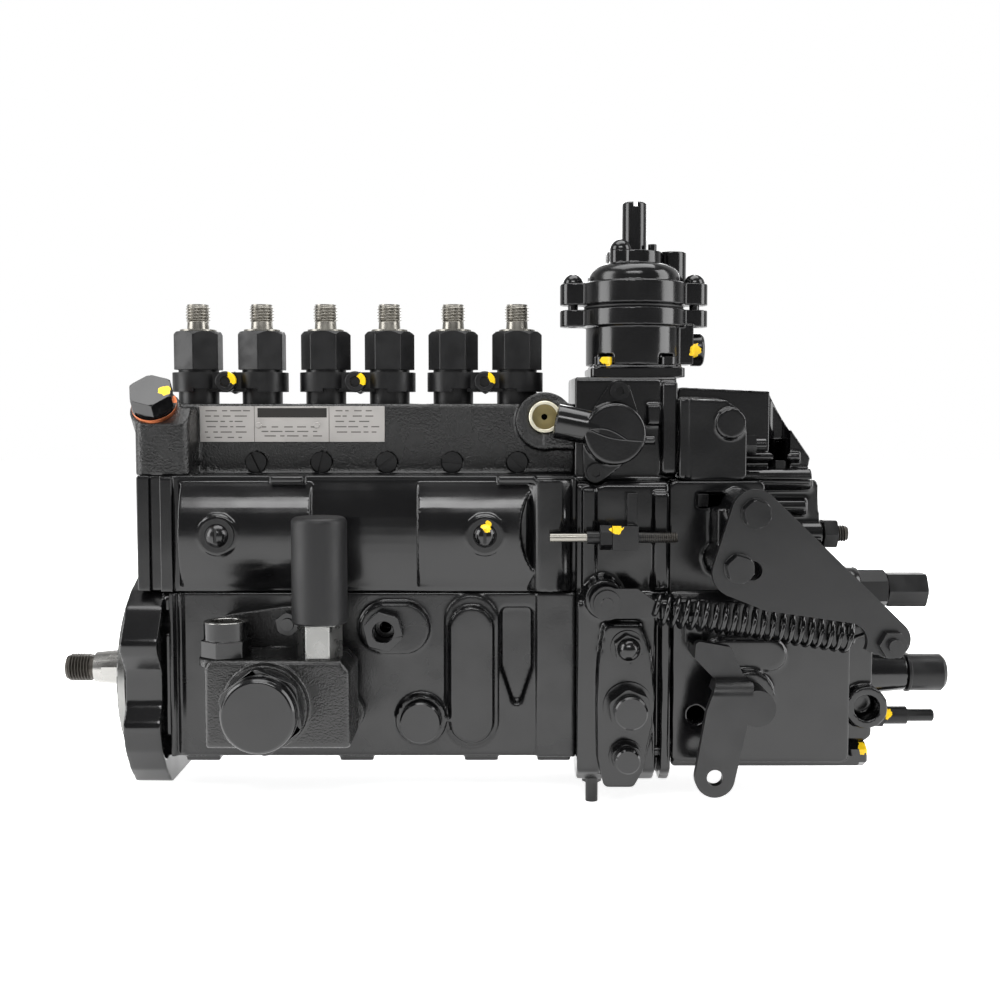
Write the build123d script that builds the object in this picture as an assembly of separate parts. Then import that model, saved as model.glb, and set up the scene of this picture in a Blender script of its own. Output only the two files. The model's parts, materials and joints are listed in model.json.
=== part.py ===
from build123d import *
from math import atan2, cos, degrees, hypot, pi, radians, sin, sqrt
import os

# In-line diesel injection pump with six pumping elements, a flange mount, a
# mechanical governor with boost compensator and a cam driven feed pump.
#
# Frame, in millimetres: the origin is on the camshaft axis at the mounting
# face of the drive flange. +X runs along the camshaft to the governor, +Z is
# up along the pumping elements and -Y is the side that carries the side cover,
# the feed pump and the levers.

# ---------------------------------------------------------------- fits
running_fit = 0.05        # radial gap between a turning or sliding pair
screw_gap = 0.2           # radial gap round a screw in its hole
seat_gap = 0.02           # gap left between parts pressed on each other
gasket_thickness = 0.6

# ---------------------------------------------------------------- directions
up = (0, 0, 1)
down = (0, 0, -1)
to_front = (0, -1, 0)
to_back = (0, 1, 0)
to_rear = (1, 0, 0)          # along the camshaft, towards the governor
to_drive = (-1, 0, 0)

# ---------------------------------------------------------------- elements
element_count = 6
element_pitch = 32.0
first_element_x = 25.5
firing_turns = (0, 240, 120, 300, 60, 180)   # cam angles, firing order 1-5-3-6-2-4

# ---------------------------------------------------------------- drive flange
flange_thickness = 17.5
pilot_radius = 44.0
pilot_length = 6.0
flange_bolt_y = 43.0
flange_bolt_z = 30.0
flange_bolt_radius = 5.5

# ---------------------------------------------------------------- camshaft
shaft_end_x = -43.3
shaft_thread_radius = 7.0
shaft_thread_length = 14.6
cone_large_radius = 10.0
cone_ratio = 5.0                 # 1:5 on the diameter
journal_radius = 10.0
shaft_core_radius = 10.5
cam_base_radius = 11.0
cam_lift = 8.0
cam_width = 12.0
feed_cam_x = 73.5
feed_cam_throw = 4.0
feed_cam_width = 9.0
feed_tappet_flat = 9.2              # half width between the flats beside the roller
shaft_rear_x = 247.0
key_width = 4.0
key_radius = 6.5

# ---------------------------------------------------------------- bearings
bearing_outer_radius = 23.5
bearing_inner_radius = 10.0
bearing_width = 14.0
front_bearing_x = 2.5
rear_bearing_x = 198.5
roller_count = 14
roller_radius = 3.0

# ---------------------------------------------------------------- pump housing
housing_left_x = 5.0
housing_front_x = 20.0           # lower part, behind the flange
housing_end_x = 213.0
housing_bottom_z = -35.0
housing_front_y = -43.0
housing_back_y = 43.0
cover_seat_y = -38.0
cover_bottom_z = 44.5
cover_top_z = 99.8
band_front_y = -20.0
band_back_y = 24.0
housing_top_z = 134.0
chamber_bottom_z = 50.0
chamber_top_z = 92.0
cam_chamber_top_z = 36.0

# ---------------------------------------------------------------- element stack
tappet_radius = 12.0
tappet_height = 32.0
tappet_roller_radius = 8.0
tappet_roller_width = 10.0
barrel_radius = 9.0
plunger_radius = 4.0
sleeve_radius = 9.0
rack_arm_radius = 16.0
rack_z = 84.0
holder_pin_radius = 6.0
holder_stem_radius = 10.0
holder_hex = 22.0
holder_hex_bottom_z = 151.0
holder_hex_top_z = holder_hex_bottom_z + 19.0
holder_top_z = holder_hex_top_z + 13.5
holder_thread_length = 8.5
clamp_ring_radius = 13.0
clamp_bottom_z = 140.0
clamp_top_z = clamp_bottom_z + 9.6

# ---------------------------------------------------------------- side cover
cover_plate_thickness = 5.5
cover_bulge = 7.5
cover_screw_x = (44.8, 170.0)
end_sweep_x = 222.4                 # centre of the round sweep that ends the right panel
end_sweep_z = 74.3
end_sweep_radius = 36.0
cover_screw_z = 72.2

# ---------------------------------------------------------------- feed pump
feed_left_x = 46.0
feed_right_x = 110.5
feed_bottom_z = -19.5
feed_top_z = 20.0
feed_face_y = -95.0
feed_flange_y = -52.0
feed_plug_hex = 34.0
feed_inlet_x = 53.5
priming_x = 95.8
feed_port_y = -76.0
priming_barrel_top_z = 62.0
priming_knob_radius = 12.5
priming_knob_bottom_z = 35.0
priming_knob_top_z = 83.0

# ---------------------------------------------------------------- governor
governor_split_x = 257.0
governor_front_y = -58.0
governor_back_y = 48.0
governor_bottom_z = -44.0
governor_cavity_radius = 38.5
cover_right_x = 340.0
cover_bottom_edge_z = -33.6
side_plate_top_z = 43.0
plug_plate_y = -66.0
lever_shaft_x = 291.7
lever_shaft_z = -2.1
lever_shaft_radius = 6.0
lever_plane_y = -84.0
lever_thickness = 4.5
lever_hole_x = lever_shaft_x - 19.4
lever_hole_z = lever_shaft_z - 30.1
lever_hole_radius = 3.6
lever_hub_radius = 8.2
roll_radius = 6.5                  # outer radius of the rolled top of the strap
bracket_y = -84.0
bracket_thickness = 4.0
bracket_pivot_x = 289.3
bracket_pivot_z = 85.3
bracket_slot_x = 282.1
bracket_slot_z = 61.0
bracket_pin_x = 350.0
bracket_pin_z = 27.4
bracket_swing = 12.0
coil_relief_radius = 8.4
spring_anchor_x = 225.4
spring_anchor_z = 43.3
spring_wire_radius = 1.0
spring_coil_radius = 6.6
spring_turns = 21
spring_y = -72.5

# ---------------------------------------------------------------- compensator
boost_x = 244.0
boost_radius = 23.8
boost_base_z = 146.8
boost_body_z = 153.0
boost_flange_z = 172.2
boost_split_z = 181.8
boost_flange_top_z = 193.8
boost_dome_z = 203.0
boost_neck_z = 209.4
boost_stem_z = 234.0
boost_plug_z = 161.0
boost_ear_spacing = 30.4
boost_port_radius = 5.0
boost_ear_radius = 6.5
boost_neck_radius = 14.0
boost_port_top_z = 210.5
boost_port_depth = 12.3

middle = (Align.CENTER, Align.CENTER, Align.MIN)
nodes = {}


# ================================================================ helpers
def keep(name, *solids):
    """Store the solids of one named piece."""
    nodes[name] = nodes.get(name, []) + list(solids)


def rod(point, direction, radius, length):
    """Round bar that starts at point and runs along direction."""
    return Plane(origin=point, z_dir=direction) * Cylinder(radius, length, align=middle)


def taper(point, direction, radius_start, radius_end, length):
    """Round taper that starts at point."""
    return Plane(origin=point, z_dir=direction) * Cone(radius_start, radius_end, length, align=middle)


def tube(point, direction, outer_radius, inner_radius, length):
    """Round bar with a bore through it."""
    return rod(point, direction, outer_radius, length) - rod(point, direction, inner_radius, length)


def hexagon(point, direction, across_flats, length, turn=0.0):
    """Hexagon bar that starts at point, turned about its own axis."""
    outline = RegularPolygon(across_flats / 2, 6, major_radius=False, rotation=turn)
    return Plane(origin=point, z_dir=direction) * extrude(outline, amount=length)


def hex_head(point, direction, across_flats, length, turn=0.0):
    """Hexagon with the turned chamfer of a nut or bolt head at its outer end."""
    corner = across_flats / sqrt(3)
    trim = taper(point, direction, corner + 1.2 * length, corner * 0.93, length)
    return hexagon(point, direction, across_flats, length, turn) & trim


def block(x_range, y_range, z_range):
    """Box between two limits on each axis."""
    size = [b - a for a, b in (x_range, y_range, z_range)]
    centre = [(a + b) / 2 for a, b in (x_range, y_range, z_range)]
    return Pos(*centre) * Box(*size)


def rounded(points, radius):
    """Closed outline through the points with its corners rounded."""
    outline = make_face(Polyline(*points, close=True))
    if radius > 0:
        outline = fillet(outline.vertices(), radius)
    return outline


def along_x(outline, x_start, x_end):
    """Outline drawn in (y, z), carried from x_start to x_end."""
    place = Plane(origin=(x_start, 0, 0), x_dir=to_back, z_dir=to_rear)
    return extrude(place * outline, amount=x_end - x_start)


def along_y(outline, y_near, y_far):
    """Outline drawn in (x, z), carried from y_far towards y_near."""
    place = Plane(origin=(0, y_far, 0), x_dir=to_rear, z_dir=to_front)
    return extrude(place * outline, amount=y_far - y_near)


def along_z(outline, z_low, z_high):
    """Outline drawn in (x, y), carried from z_low to z_high."""
    return extrude(Plane.XY.offset(z_low) * outline, amount=z_high - z_low)


def slot_shape(x_a, z_a, x_b, z_b, radius):
    """Long round-ended outline between two centres."""
    length = hypot(x_b - x_a, z_b - z_a)
    angle = degrees(atan2(z_b - z_a, x_b - x_a))
    centre = ((x_a + x_b) / 2, (z_a + z_b) / 2)
    return Pos(*centre) * (Rot(0, 0, angle) * SlotCenterToCenter(length, 2 * radius))


def domed_screw(point, direction, radius, length, head_radius, head_height):
    """Round headed screw; point is under the head."""
    back = tuple(-value for value in direction)
    head = rod(point, direction, head_radius, head_height)
    dome_radius = (head_radius ** 2 + head_height ** 2) / (2 * head_height)
    centre = tuple(p + d * (head_height - dome_radius) for p, d in zip(point, direction))
    return (head & (Pos(*centre) * Sphere(dome_radius))) + rod(point, back, radius, length)


def element_x(index):
    """Place of one pumping element along the camshaft."""
    return first_element_x + element_pitch * index


# ================================================================ pump housing
vent_normal = (0, -sin(radians(45)), cos(radians(45)))
vent_seat = (12.0, -34.0, 132.0)
fuel_port_x = 198.6
fuel_port_z = 127.5
fuel_port_y = -31.0
oil_port_x = 122.5
oil_port_z = 27.6
oil_boss_y = -49.0
drain_x = 139.4
drain_z = -16.6
pad_x = 163.5
pad_low_z = -17.5
pad_high_z = 27.5
pad_half_width = 10.2
front_boss_radius = 31.0
band_plug_z = 105.4
band_plug_radius = 5.0
band_plug_depth = 7.0
fuel_sleeve_radius = 7.7
vent_thread_radius = 7.0
vent_washer_radius = 10.8
vent_hex = 19.0
vent_thread_length = 14.0
rack_radius = 5.0
oil_fitting_thread = 7.0
drain_thread = 8.0
feed_spigot_radius = 14.0
feed_stud_radius = 3.0
feed_studs = ((feed_cam_x - 21.5, 27.5), (feed_cam_x + 4.5, 31.0), (feed_cam_x + 31.5, -12.0))
feed_nut_room = 10.0
cover_screw_radius = 3.0
end_screw_radius = 3.0
end_screws = ((-36, -29), (36, -29), (-36, 32), (36, 32), (-12, 108), (18, 108))
flange_cap_screws = ((-34, -13), (-34, 13), (34, -13), (34, 13))
flange_cap_screw_radius = 3.0


def housing_section(low_z):
    """Outline of the housing across the camshaft, above low_z."""
    points = [
        (housing_front_y, housing_bottom_z),
        (housing_back_y, housing_bottom_z),
        (housing_back_y, 44),
        (32, 60),
        (28, 100),
        (band_back_y, housing_top_z),
        (band_front_y, housing_top_z),
        (band_front_y, cover_top_z),
        (cover_seat_y, cover_top_z),
        (cover_seat_y, cover_bottom_z),
        (housing_front_y, cover_bottom_z),
    ]
    outline = rounded(points, 0)
    corners = outline.vertices().filter_by(lambda v: abs(v.Y - cover_bottom_z) > 1)
    outline = fillet(corners, 2.0)
    window = Pos(0, (low_z + 200) / 2) * Rectangle(200, 200 - low_z)
    return outline & window


def housing_blank():
    """Outer casting before its chambers are opened."""
    casting = along_x(housing_section(-60), housing_front_x, housing_end_x)
    casting += along_x(housing_section(50.4), housing_left_x, housing_front_x + 1)
    # vent boss at the left end, with its face leaning to the front
    vent_block = block((3.5, 29.5), (-42, band_front_y + 1), (cover_top_z, 132))
    slope = Plane(origin=vent_seat, z_dir=vent_normal)
    vent_block -= slope * Box(120, 120, 60, align=middle)
    vent_block = fillet(vent_block.edges().filter_by(Axis.Z).group_by(Axis.Y)[0], 5.0)
    casting += vent_block
    down = tuple(-value for value in vent_normal)
    vent_boss = rod(vent_seat, down, 12.0, 30)
    casting += vent_boss & block((-5, 40), (-60, 10), (cover_top_z, 150))
    # fuel gallery boss at the right end
    casting += rod((fuel_port_x, band_front_y + 1, fuel_port_z - 2), to_front, 14.0, 9.5)
    casting += block((fuel_port_x, housing_end_x), (-29.5, band_front_y + 1), (112, 134))
    # raised pads and bosses of the lower front face
    front = housing_front_y
    casting += along_y(slot_shape(oil_port_x, oil_port_z, oil_port_x + 9, oil_port_z, 12.0), oil_boss_y,
                       front + 1)
    casting += rod((drain_x, front + 1, drain_z), to_front, 12.0, 4.5)
    pad = slot_shape(pad_x, pad_low_z, pad_x, pad_high_z, pad_half_width)
    border = slot_shape(pad_x, pad_low_z, pad_x, pad_high_z + 3, pad_half_width + 2.2)
    casting += along_y(border, front - 1.2, front + 1)
    casting += along_y(pad, front - 3.2, front + 1)
    casting += block((20.0, 22.3), (front - 1.8, front + 1), (-35, 44.5))
    casting += block((24.2, 26.0), (front - 1.4, front + 1), (-33, 44.0))
    casting += block((194.5, housing_end_x), (front - 1.6, front + 1), (-35, 44.5))
    # feet under the sump
    for foot_x in (34.0, 108.0, 168.0, 203.0):
        casting += along_x(rounded([(-40, -38.0), (-22, -38.0), (-22, -30), (-40, -30)], 1.5), foot_x - 8,
                           foot_x + 8)
        casting += along_x(rounded([(22, -38.0), (40, -38.0), (40, -30), (22, -30)], 1.5), foot_x - 8,
                           foot_x + 8)
    return casting


def pump_housing():
    casting = housing_blank()
    front = housing_front_y
    # tapering pocket between the oval pad and the end flange
    pocket = rounded([(177.5, 37), (192.5, 37), (192.5, 8), (187, -9), (183, -9), (177.5, 8)], 2.4)
    casting -= along_y(pocket, front - 3, front + 4)
    # cam tunnel, open at both ends for the bearing seats
    casting -= along_x(rounded([(-27, -28), (27, -28), (27, cam_chamber_top_z), (-27, cam_chamber_top_z)],
                               6.0),
                       housing_front_x + 4, rear_bearing_x - 4)
    casting -= rod((0, 0, 0), to_rear, front_boss_radius + seat_gap, housing_front_x + 5)
    casting -= rod((rear_bearing_x - 6, 0, 0), to_rear, bearing_outer_radius + seat_gap, 30)
    # spring chamber behind the side cover
    chamber = rounded([(cover_seat_y - 8, chamber_bottom_z), (22, chamber_bottom_z),
                       (22, chamber_top_z), (cover_seat_y - 8, chamber_top_z)], 3.0)
    casting -= along_x(chamber, 12.0, housing_end_x - 7)
    for index in range(element_count):
        x = element_x(index)
        casting -= rod((x, 0, bearing_outer_radius - 3), up, tappet_radius + running_fit, 40)
        casting -= rod((x, 0, chamber_top_z - 1), up, barrel_radius + seat_gap, 60)
        casting -= rod((x, 0, housing_top_z - 14), up, holder_stem_radius + seat_gap, 20)
        casting -= rod((x, band_front_y - 1, band_plug_z), to_back, band_plug_radius + seat_gap,
                       band_plug_depth + 1)
    # fuel gallery beside the barrels and its ports
    casting -= rod((fuel_port_x, 13.5, 122), to_drive, 4.5, fuel_port_x - 14)
    casting -= rod((fuel_port_x, fuel_port_y - 4, fuel_port_z), to_back, fuel_sleeve_radius + seat_gap, 18)
    casting -= rod((fuel_port_x, -18, fuel_port_z), to_back, 4.0, 30)
    casting -= rod(tuple(s + 12 * n for s, n in zip(vent_seat, vent_normal)), tuple(-n for n in vent_normal),
                   vent_thread_radius + seat_gap, 12 + vent_thread_length)
    # rack guide through both end walls
    casting -= rod((-5, rack_arm_radius, rack_z), to_rear, rack_radius + running_fit, housing_end_x + 10)
    # oil port, drain plug and feed pump opening
    casting -= rod((oil_port_x, oil_boss_y - 1, oil_port_z), to_back, oil_fitting_thread + seat_gap, 14)
    casting -= rod((oil_port_x, oil_boss_y, oil_port_z), to_back, 2.5, 40)
    casting -= rod((drain_x, front - 5, drain_z), to_back, drain_thread + seat_gap, 14)
    casting -= rod((feed_cam_x, front - 6, 0), to_back, feed_spigot_radius + seat_gap, 24)
    for x, z in feed_studs:
        casting -= rod((x, front - 4, z), to_back, feed_stud_radius + seat_gap, 12)
    for x in cover_screw_x:
        casting += block((x - 5, x + 5), (cover_seat_y, -16), (chamber_bottom_z - 1, chamber_top_z + 1))
        casting -= rod((x, cover_seat_y - 1, cover_screw_z), to_back, cover_screw_radius + seat_gap, 21)
    for y, z in end_screws:
        casting -= rod((housing_end_x + 1, y, z), to_drive, end_screw_radius + seat_gap, 15)
    for y, z in flange_cap_screws:
        casting -= rod((housing_front_x - 1, y, z), to_rear, flange_cap_screw_radius + seat_gap, 15)
    keep("pump_housing", casting)



# ================================================================ drive end
flange_half_outline = (
    (0, 50), (-25, 50), (-38, 44.5), (-48.6, 37.6), (-60, 20), (-49.5, 7), (-49.5, -8),
    (-56, -18), (-52, -30), (-44, -41), (-34, -50), (0, -50),
)
scallop_radius = 8.0
seal_outer_radius = 17.0
seal_depth = 7.0


def drive_flange():
    """Bearing end plate that also carries the pump on the engine."""
    left = list(flange_half_outline)
    right = [(-y, z) for y, z in reversed(left[1:-1])]
    outline = rounded(left + right, scallop_radius)
    plate = along_x(outline, 0, flange_thickness)
    neck = along_x(rounded([(-43, -35), (43, -35), (43, 44), (-43, 44)], 3.0), flange_thickness - 1,
                   housing_front_x)
    plate += neck
    plate += rod((-pilot_length, 0, 0), to_rear, pilot_radius, pilot_length + 1)
    plate += rod((flange_thickness, 0, 0), to_rear, front_boss_radius, 7.0)
    groove = rod((-4.6, 0, 0), to_rear, pilot_radius + 5, 3.0) - rod((-5, 0, 0), to_rear,
                                                                     pilot_radius - 2.4, 4.0)
    plate -= groove
    plate -= rod((-pilot_length - 1, 0, 0), to_rear, seal_outer_radius + seat_gap, seal_depth + 1)
    plate -= rod((-pilot_length, 0, 0), to_rear, shaft_core_radius + 2.5, 40)
    plate -= rod((front_bearing_x, 0, 0), to_rear, bearing_outer_radius + seat_gap, 40)
    for y_side in (-1, 1):
        for z_side in (-1, 1):
            centre = (-2, y_side * flange_bolt_y, z_side * flange_bolt_z)
            plate -= rod(centre, to_rear, flange_bolt_radius, 40)
    for y, z in flange_cap_screws:
        plate -= rod((-pilot_length - 1, y, z), to_rear, flange_cap_screw_radius + screw_gap, 40)
        plate -= rod((-pilot_length - 1, y, z), to_rear, 5.0, 9.0)
    plate -= rod((first_element_x, 0, cam_base_radius + cam_lift - 1), up, tappet_radius + 0.3, 40)
    keep("drive_flange", plate)
    keep("drive_seals", tube((-4.4, 0, 0), to_rear, pilot_radius - 0.2, pilot_radius - 2.4 + seat_gap, 2.6))
    for y, z in flange_cap_screws:
        seat = (2.0, y, z)
        screw = rod(seat, to_drive, 4.8, 5.5) - hexagon((-1.5, y, z), to_drive, 5.0, 3)
        keep("housing_screws", screw + rod(seat, to_rear, flange_cap_screw_radius, 26))
    seal = tube((-pilot_length + 0.2, 0, 0), to_rear, seal_outer_radius, shaft_core_radius + 1.2,
                seal_depth - 0.7)
    lip = Plane.XZ * make_face(Polyline(
        (-pilot_length + 3.0, shaft_core_radius + 1.3), (-pilot_length + 5.2, shaft_core_radius + 1.3),
        (-pilot_length + 3.4, shaft_core_radius + running_fit), close=True))
    keep("drive_seals", seal + revolve(lip, Axis.X))


def cam(x_start, width, base_radius, lift, angle):
    """One lobe: the base circle blended to a smaller nose circle."""
    nose_radius = base_radius * 0.55
    reach = base_radius + lift - nose_radius
    outline = make_hull(Circle(base_radius).edges() + (Pos(0, reach) * Circle(nose_radius)).edges())
    return along_x(Rot(0, 0, angle) * outline, x_start, x_start + width)


def camshaft():
    """Shaft in one piece with its six lobes and the eccentric of the feed pump."""
    cone_end_x = -pilot_length
    cone_start_x = shaft_end_x + shaft_thread_length
    cone_small_radius = cone_large_radius - (cone_end_x - cone_start_x) / cone_ratio / 2
    journal_end_x = front_bearing_x + bearing_width
    shaft = rod((shaft_end_x, 0, 0), to_rear, shaft_thread_radius, shaft_thread_length - 1.5)
    shaft = chamfer(shaft.edges().group_by(Axis.X)[0], 1.0)
    shaft += rod((shaft_end_x + 1, 0, 0), to_rear, shaft_thread_radius - 1.0, shaft_thread_length)
    shaft += taper((cone_start_x, 0, 0), to_rear, cone_small_radius, cone_large_radius,
                   cone_end_x - cone_start_x)
    shaft += rod((cone_end_x, 0, 0), to_rear, shaft_core_radius, front_bearing_x - cone_end_x)
    shaft += rod((front_bearing_x, 0, 0), to_rear, journal_radius, bearing_width)
    shaft += rod((journal_end_x, 0, 0), to_rear, shaft_core_radius, rear_bearing_x - journal_end_x)
    shaft += rod((rear_bearing_x, 0, 0), to_rear, journal_radius, bearing_width)
    shaft += rod((rear_bearing_x + bearing_width, 0, 0), to_rear, 8.5,
                 shaft_rear_x - rear_bearing_x - bearing_width)
    for index in range(element_count):
        shaft += cam(element_x(index) - cam_width / 2, cam_width, cam_base_radius, cam_lift,
                     firing_turns[index])
    eccentric = rod((feed_cam_x - feed_cam_width / 2, -feed_cam_throw, 0), to_rear, cam_base_radius,
                    feed_cam_width)
    shaft += eccentric
    key_x = (cone_start_x + cone_end_x) / 2
    key_slot = rod((key_x, -cone_large_radius + 1.5, -key_width / 2), up, key_radius + seat_gap, key_width)
    shaft -= key_slot
    keep("camshaft", shaft)
    key = rod((key_x, -cone_large_radius + 1.5, -key_width / 2 + seat_gap), up, key_radius,
              key_width - 2 * seat_gap)
    key &= block((-60, 0), (-cone_large_radius - 1.3, 0), (-10, 10))
    keep("camshaft", key)


def bearings():
    """Two roller bearings: the cones and rollers turn, the cups stay."""
    pitch_radius = (bearing_outer_radius + bearing_inner_radius) / 2
    cup_radius = pitch_radius + roller_radius + running_fit
    for x in (front_bearing_x, rear_bearing_x):
        cup = tube((x, 0, 0), to_rear, bearing_outer_radius, cup_radius, bearing_width)
        keep("bearing_cups", cup)
        cone = tube((x, 0, 0), to_rear, pitch_radius - roller_radius - seat_gap, bearing_inner_radius
                    + seat_gap,
                    bearing_width)
        keep("bearing_cones", cone)
        for step in range(roller_count):
            angle = 2 * pi * step / roller_count
            start = (x + 1.5, pitch_radius * cos(angle), pitch_radius * sin(angle))
            keep("bearing_cones", rod(start, to_rear, roller_radius, bearing_width - 3))


# ================================================================ pumping elements
cam_top = cam_base_radius + cam_lift
roller_z = cam_top + tappet_roller_radius + running_fit
tappet_bottom_z = roller_z - 3.4
tappet_top_z = tappet_bottom_z + tappet_height
adjuster_height = 5.5
plunger_foot_z = tappet_top_z + adjuster_height + 0.1
plunger_foot_thickness = 2.4
spring_seat_z = plunger_foot_z + plunger_foot_thickness
spring_seat_thickness = 1.6
barrel_nose_z = 80.0
barrel_nose_radius = 6.5
barrel_shoulder_z = 93.0
barrel_top_z = 120.0
valve_flange_z = barrel_top_z + 1.6
valve_body_radius = 7.2
sleeve_top_z = 91.5
rack_pin_radius = 2.0
rack_notch_gap = 1.6


def coil(radius, wire_radius, z_low, z_high, turns):
    """Open coil spring standing on its lower seat."""
    height = z_high - z_low - 2 * wire_radius
    line = Helix(height / turns, height, radius)
    wire = sweep(Plane(origin=line @ 0, z_dir=line % 0) * Circle(wire_radius), path=line)
    return Pos(0, 0, z_low + wire_radius) * wire


def roller_tappets():
    pin_radius = 3.0
    for index in range(element_count):
        x = element_x(index)
        body = rod((x, 0, tappet_bottom_z), up, tappet_radius, tappet_height)
        body = chamfer(body.edges().group_by(Axis.Z)[-1], 1.0)
        half_slot = tappet_roller_width / 2 + 0.3
        body -= block((x - half_slot, x + half_slot), (-9, 9), (tappet_bottom_z - 1, roller_z + 9))
        body -= rod((x - 20, 0, roller_z), to_rear, pin_radius + seat_gap, 40)
        body += hex_head((x, 0, tappet_top_z), up, 13.0, adjuster_height)
        roller = tube((x - tappet_roller_width / 2, 0, roller_z), to_rear, tappet_roller_radius,
                      pin_radius + running_fit, tappet_roller_width)
        pin_half = tappet_radius - 1.4
        pin = rod((x - pin_half, 0, roller_z), to_rear, pin_radius, 2 * pin_half)
        keep("roller_tappets", body, roller, pin)


def elements():
    """Barrels, plungers with their control sleeves, springs and delivery valves."""
    for index in range(element_count):
        x = element_x(index)
        barrel = rod((x, 0, barrel_nose_z), up, barrel_nose_radius, barrel_shoulder_z - barrel_nose_z)
        barrel += rod((x, 0, barrel_shoulder_z), up, barrel_radius, barrel_top_z - barrel_shoulder_z)
        barrel -= rod((x, 0, barrel_nose_z - 1), up, plunger_radius + running_fit, 60)
        barrel -= rod((x, -20, 112), to_back, 1.5, 40)
        keep("barrels", barrel)
        plunger = rod((x, 0, plunger_foot_z), up, 6.0, plunger_foot_thickness)
        plunger += rod((x, 0, plunger_foot_z), up, plunger_radius, 114 - plunger_foot_z)
        plunger -= block((x + 2.6, x + 6), (-6, 6), (101, 106))
        sleeve = tube((x, 0, barrel_nose_z + 0.5), up, sleeve_radius, barrel_nose_radius + running_fit,
                      sleeve_top_z - barrel_nose_z - 0.5)
        pin_z = rack_z + 0.4
        arm = along_z(Pos(x, 0) * rounded([(-3.5, 7.4), (3.5, 7.4), (2.8, rack_arm_radius + 2.4),
                                           (-2.8, rack_arm_radius
                                            + 2.4)], 1.2), sleeve_top_z - 2.2, sleeve_top_z)
        sleeve += arm
        sleeve += rod((x, rack_arm_radius, pin_z), up, rack_pin_radius, sleeve_top_z - pin_z)
        keep(f"plunger_and_sleeve_{index + 1}", plunger, sleeve)
        keep("plunger_springs", Pos(x, 0, 0) * coil(9.4, 1.1, spring_seat_z + spring_seat_thickness,
                                                    barrel_nose_z - 1.65, 3.5))
        keep("plunger_springs", tube((x, 0, spring_seat_z), up, 10.9, plunger_radius + 0.4,
                                     spring_seat_thickness))
        keep("plunger_springs", tube((x, 0, barrel_nose_z - 1.6), up, 10.9, plunger_radius + 0.4, 1.5))
        valve = rod((x, 0, barrel_top_z), up, holder_stem_radius - 0.2, valve_flange_z - barrel_top_z)
        valve += rod((x, 0, valve_flange_z - 0.5), up, valve_body_radius, 8.0)
        valve += rod((x, 0, valve_flange_z + 7), up, 3.0, 5.0)
        valve -= rod((x, 0, barrel_top_z - 1), up, 2.0, 6.0)
        keep("delivery_valves", valve)


def control_rack():
    """Round rack whose notches turn the control sleeves."""
    left = housing_left_x - 4
    right = governor_split_x + 6
    rack = rod((left, rack_arm_radius, rack_z), to_rear, rack_radius, right - left)
    rack = chamfer(rack.edges().group_by(Axis.X)[0], 0.8)
    for index in range(element_count):
        half = rack_pin_radius + rack_notch_gap / 2
        rack -= block((element_x(index) - half, element_x(index) + half), (0, 40), (rack_z, rack_z + 20))
    flat_z = rack_z + 2.6
    rack -= block((left - 1, element_x(element_count - 1) + 12), (0, 40), (flat_z, flat_z + 10))
    rack -= rod((right - 7, rack_arm_radius - 20, rack_z), to_back, 2.5, 40)
    keep("control_rack", rack)


def delivery_valve_holders():
    for index in range(element_count):
        x = element_x(index)
        bottom = valve_flange_z
        turn = 30 if index < 2 else 0
        holder = rod((x, 0, bottom), up, holder_stem_radius, holder_hex_bottom_z - bottom + 0.5)
        hexagon_part = Pos(x, 0, holder_hex_bottom_z) * extrude(
            RegularPolygon(holder_hex / 2, 6, major_radius=False, rotation=turn),
            amount=holder_hex_top_z - holder_hex_bottom_z)
        corner = holder_hex / sqrt(3)
        trim = rod((x, 0, holder_hex_bottom_z), up, corner - 0.25, 40)
        trim &= taper((x, 0, holder_hex_top_z), down, corner - 1.7, corner + 26, 30)
        holder += hexagon_part & trim
        holder += rod((x, 0, holder_hex_top_z), up, 9.0, 1.0)
        neck_z = holder_hex_top_z + 1.0
        thread_z = holder_top_z - holder_thread_length
        holder += rod((x, 0, neck_z), up, holder_pin_radius - 0.5, thread_z - neck_z)
        thread = rod((x, 0, thread_z), up, holder_pin_radius, holder_thread_length)
        holder += chamfer(thread.edges().group_by(Axis.Z)[-1], 0.7)
        holder -= rod((x, 0, bottom - 1), up, valve_body_radius + 0.3, 10.5)
        holder -= rod((x, 0, bottom), up, 3.6, 22)
        holder -= rod((x, 0, bottom), up, 1.1, 80)
        holder -= taper((x, 0, holder_top_z), down, 3.6, 1.0, 4.5)
        keep("delivery_valve_holders", holder)


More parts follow.
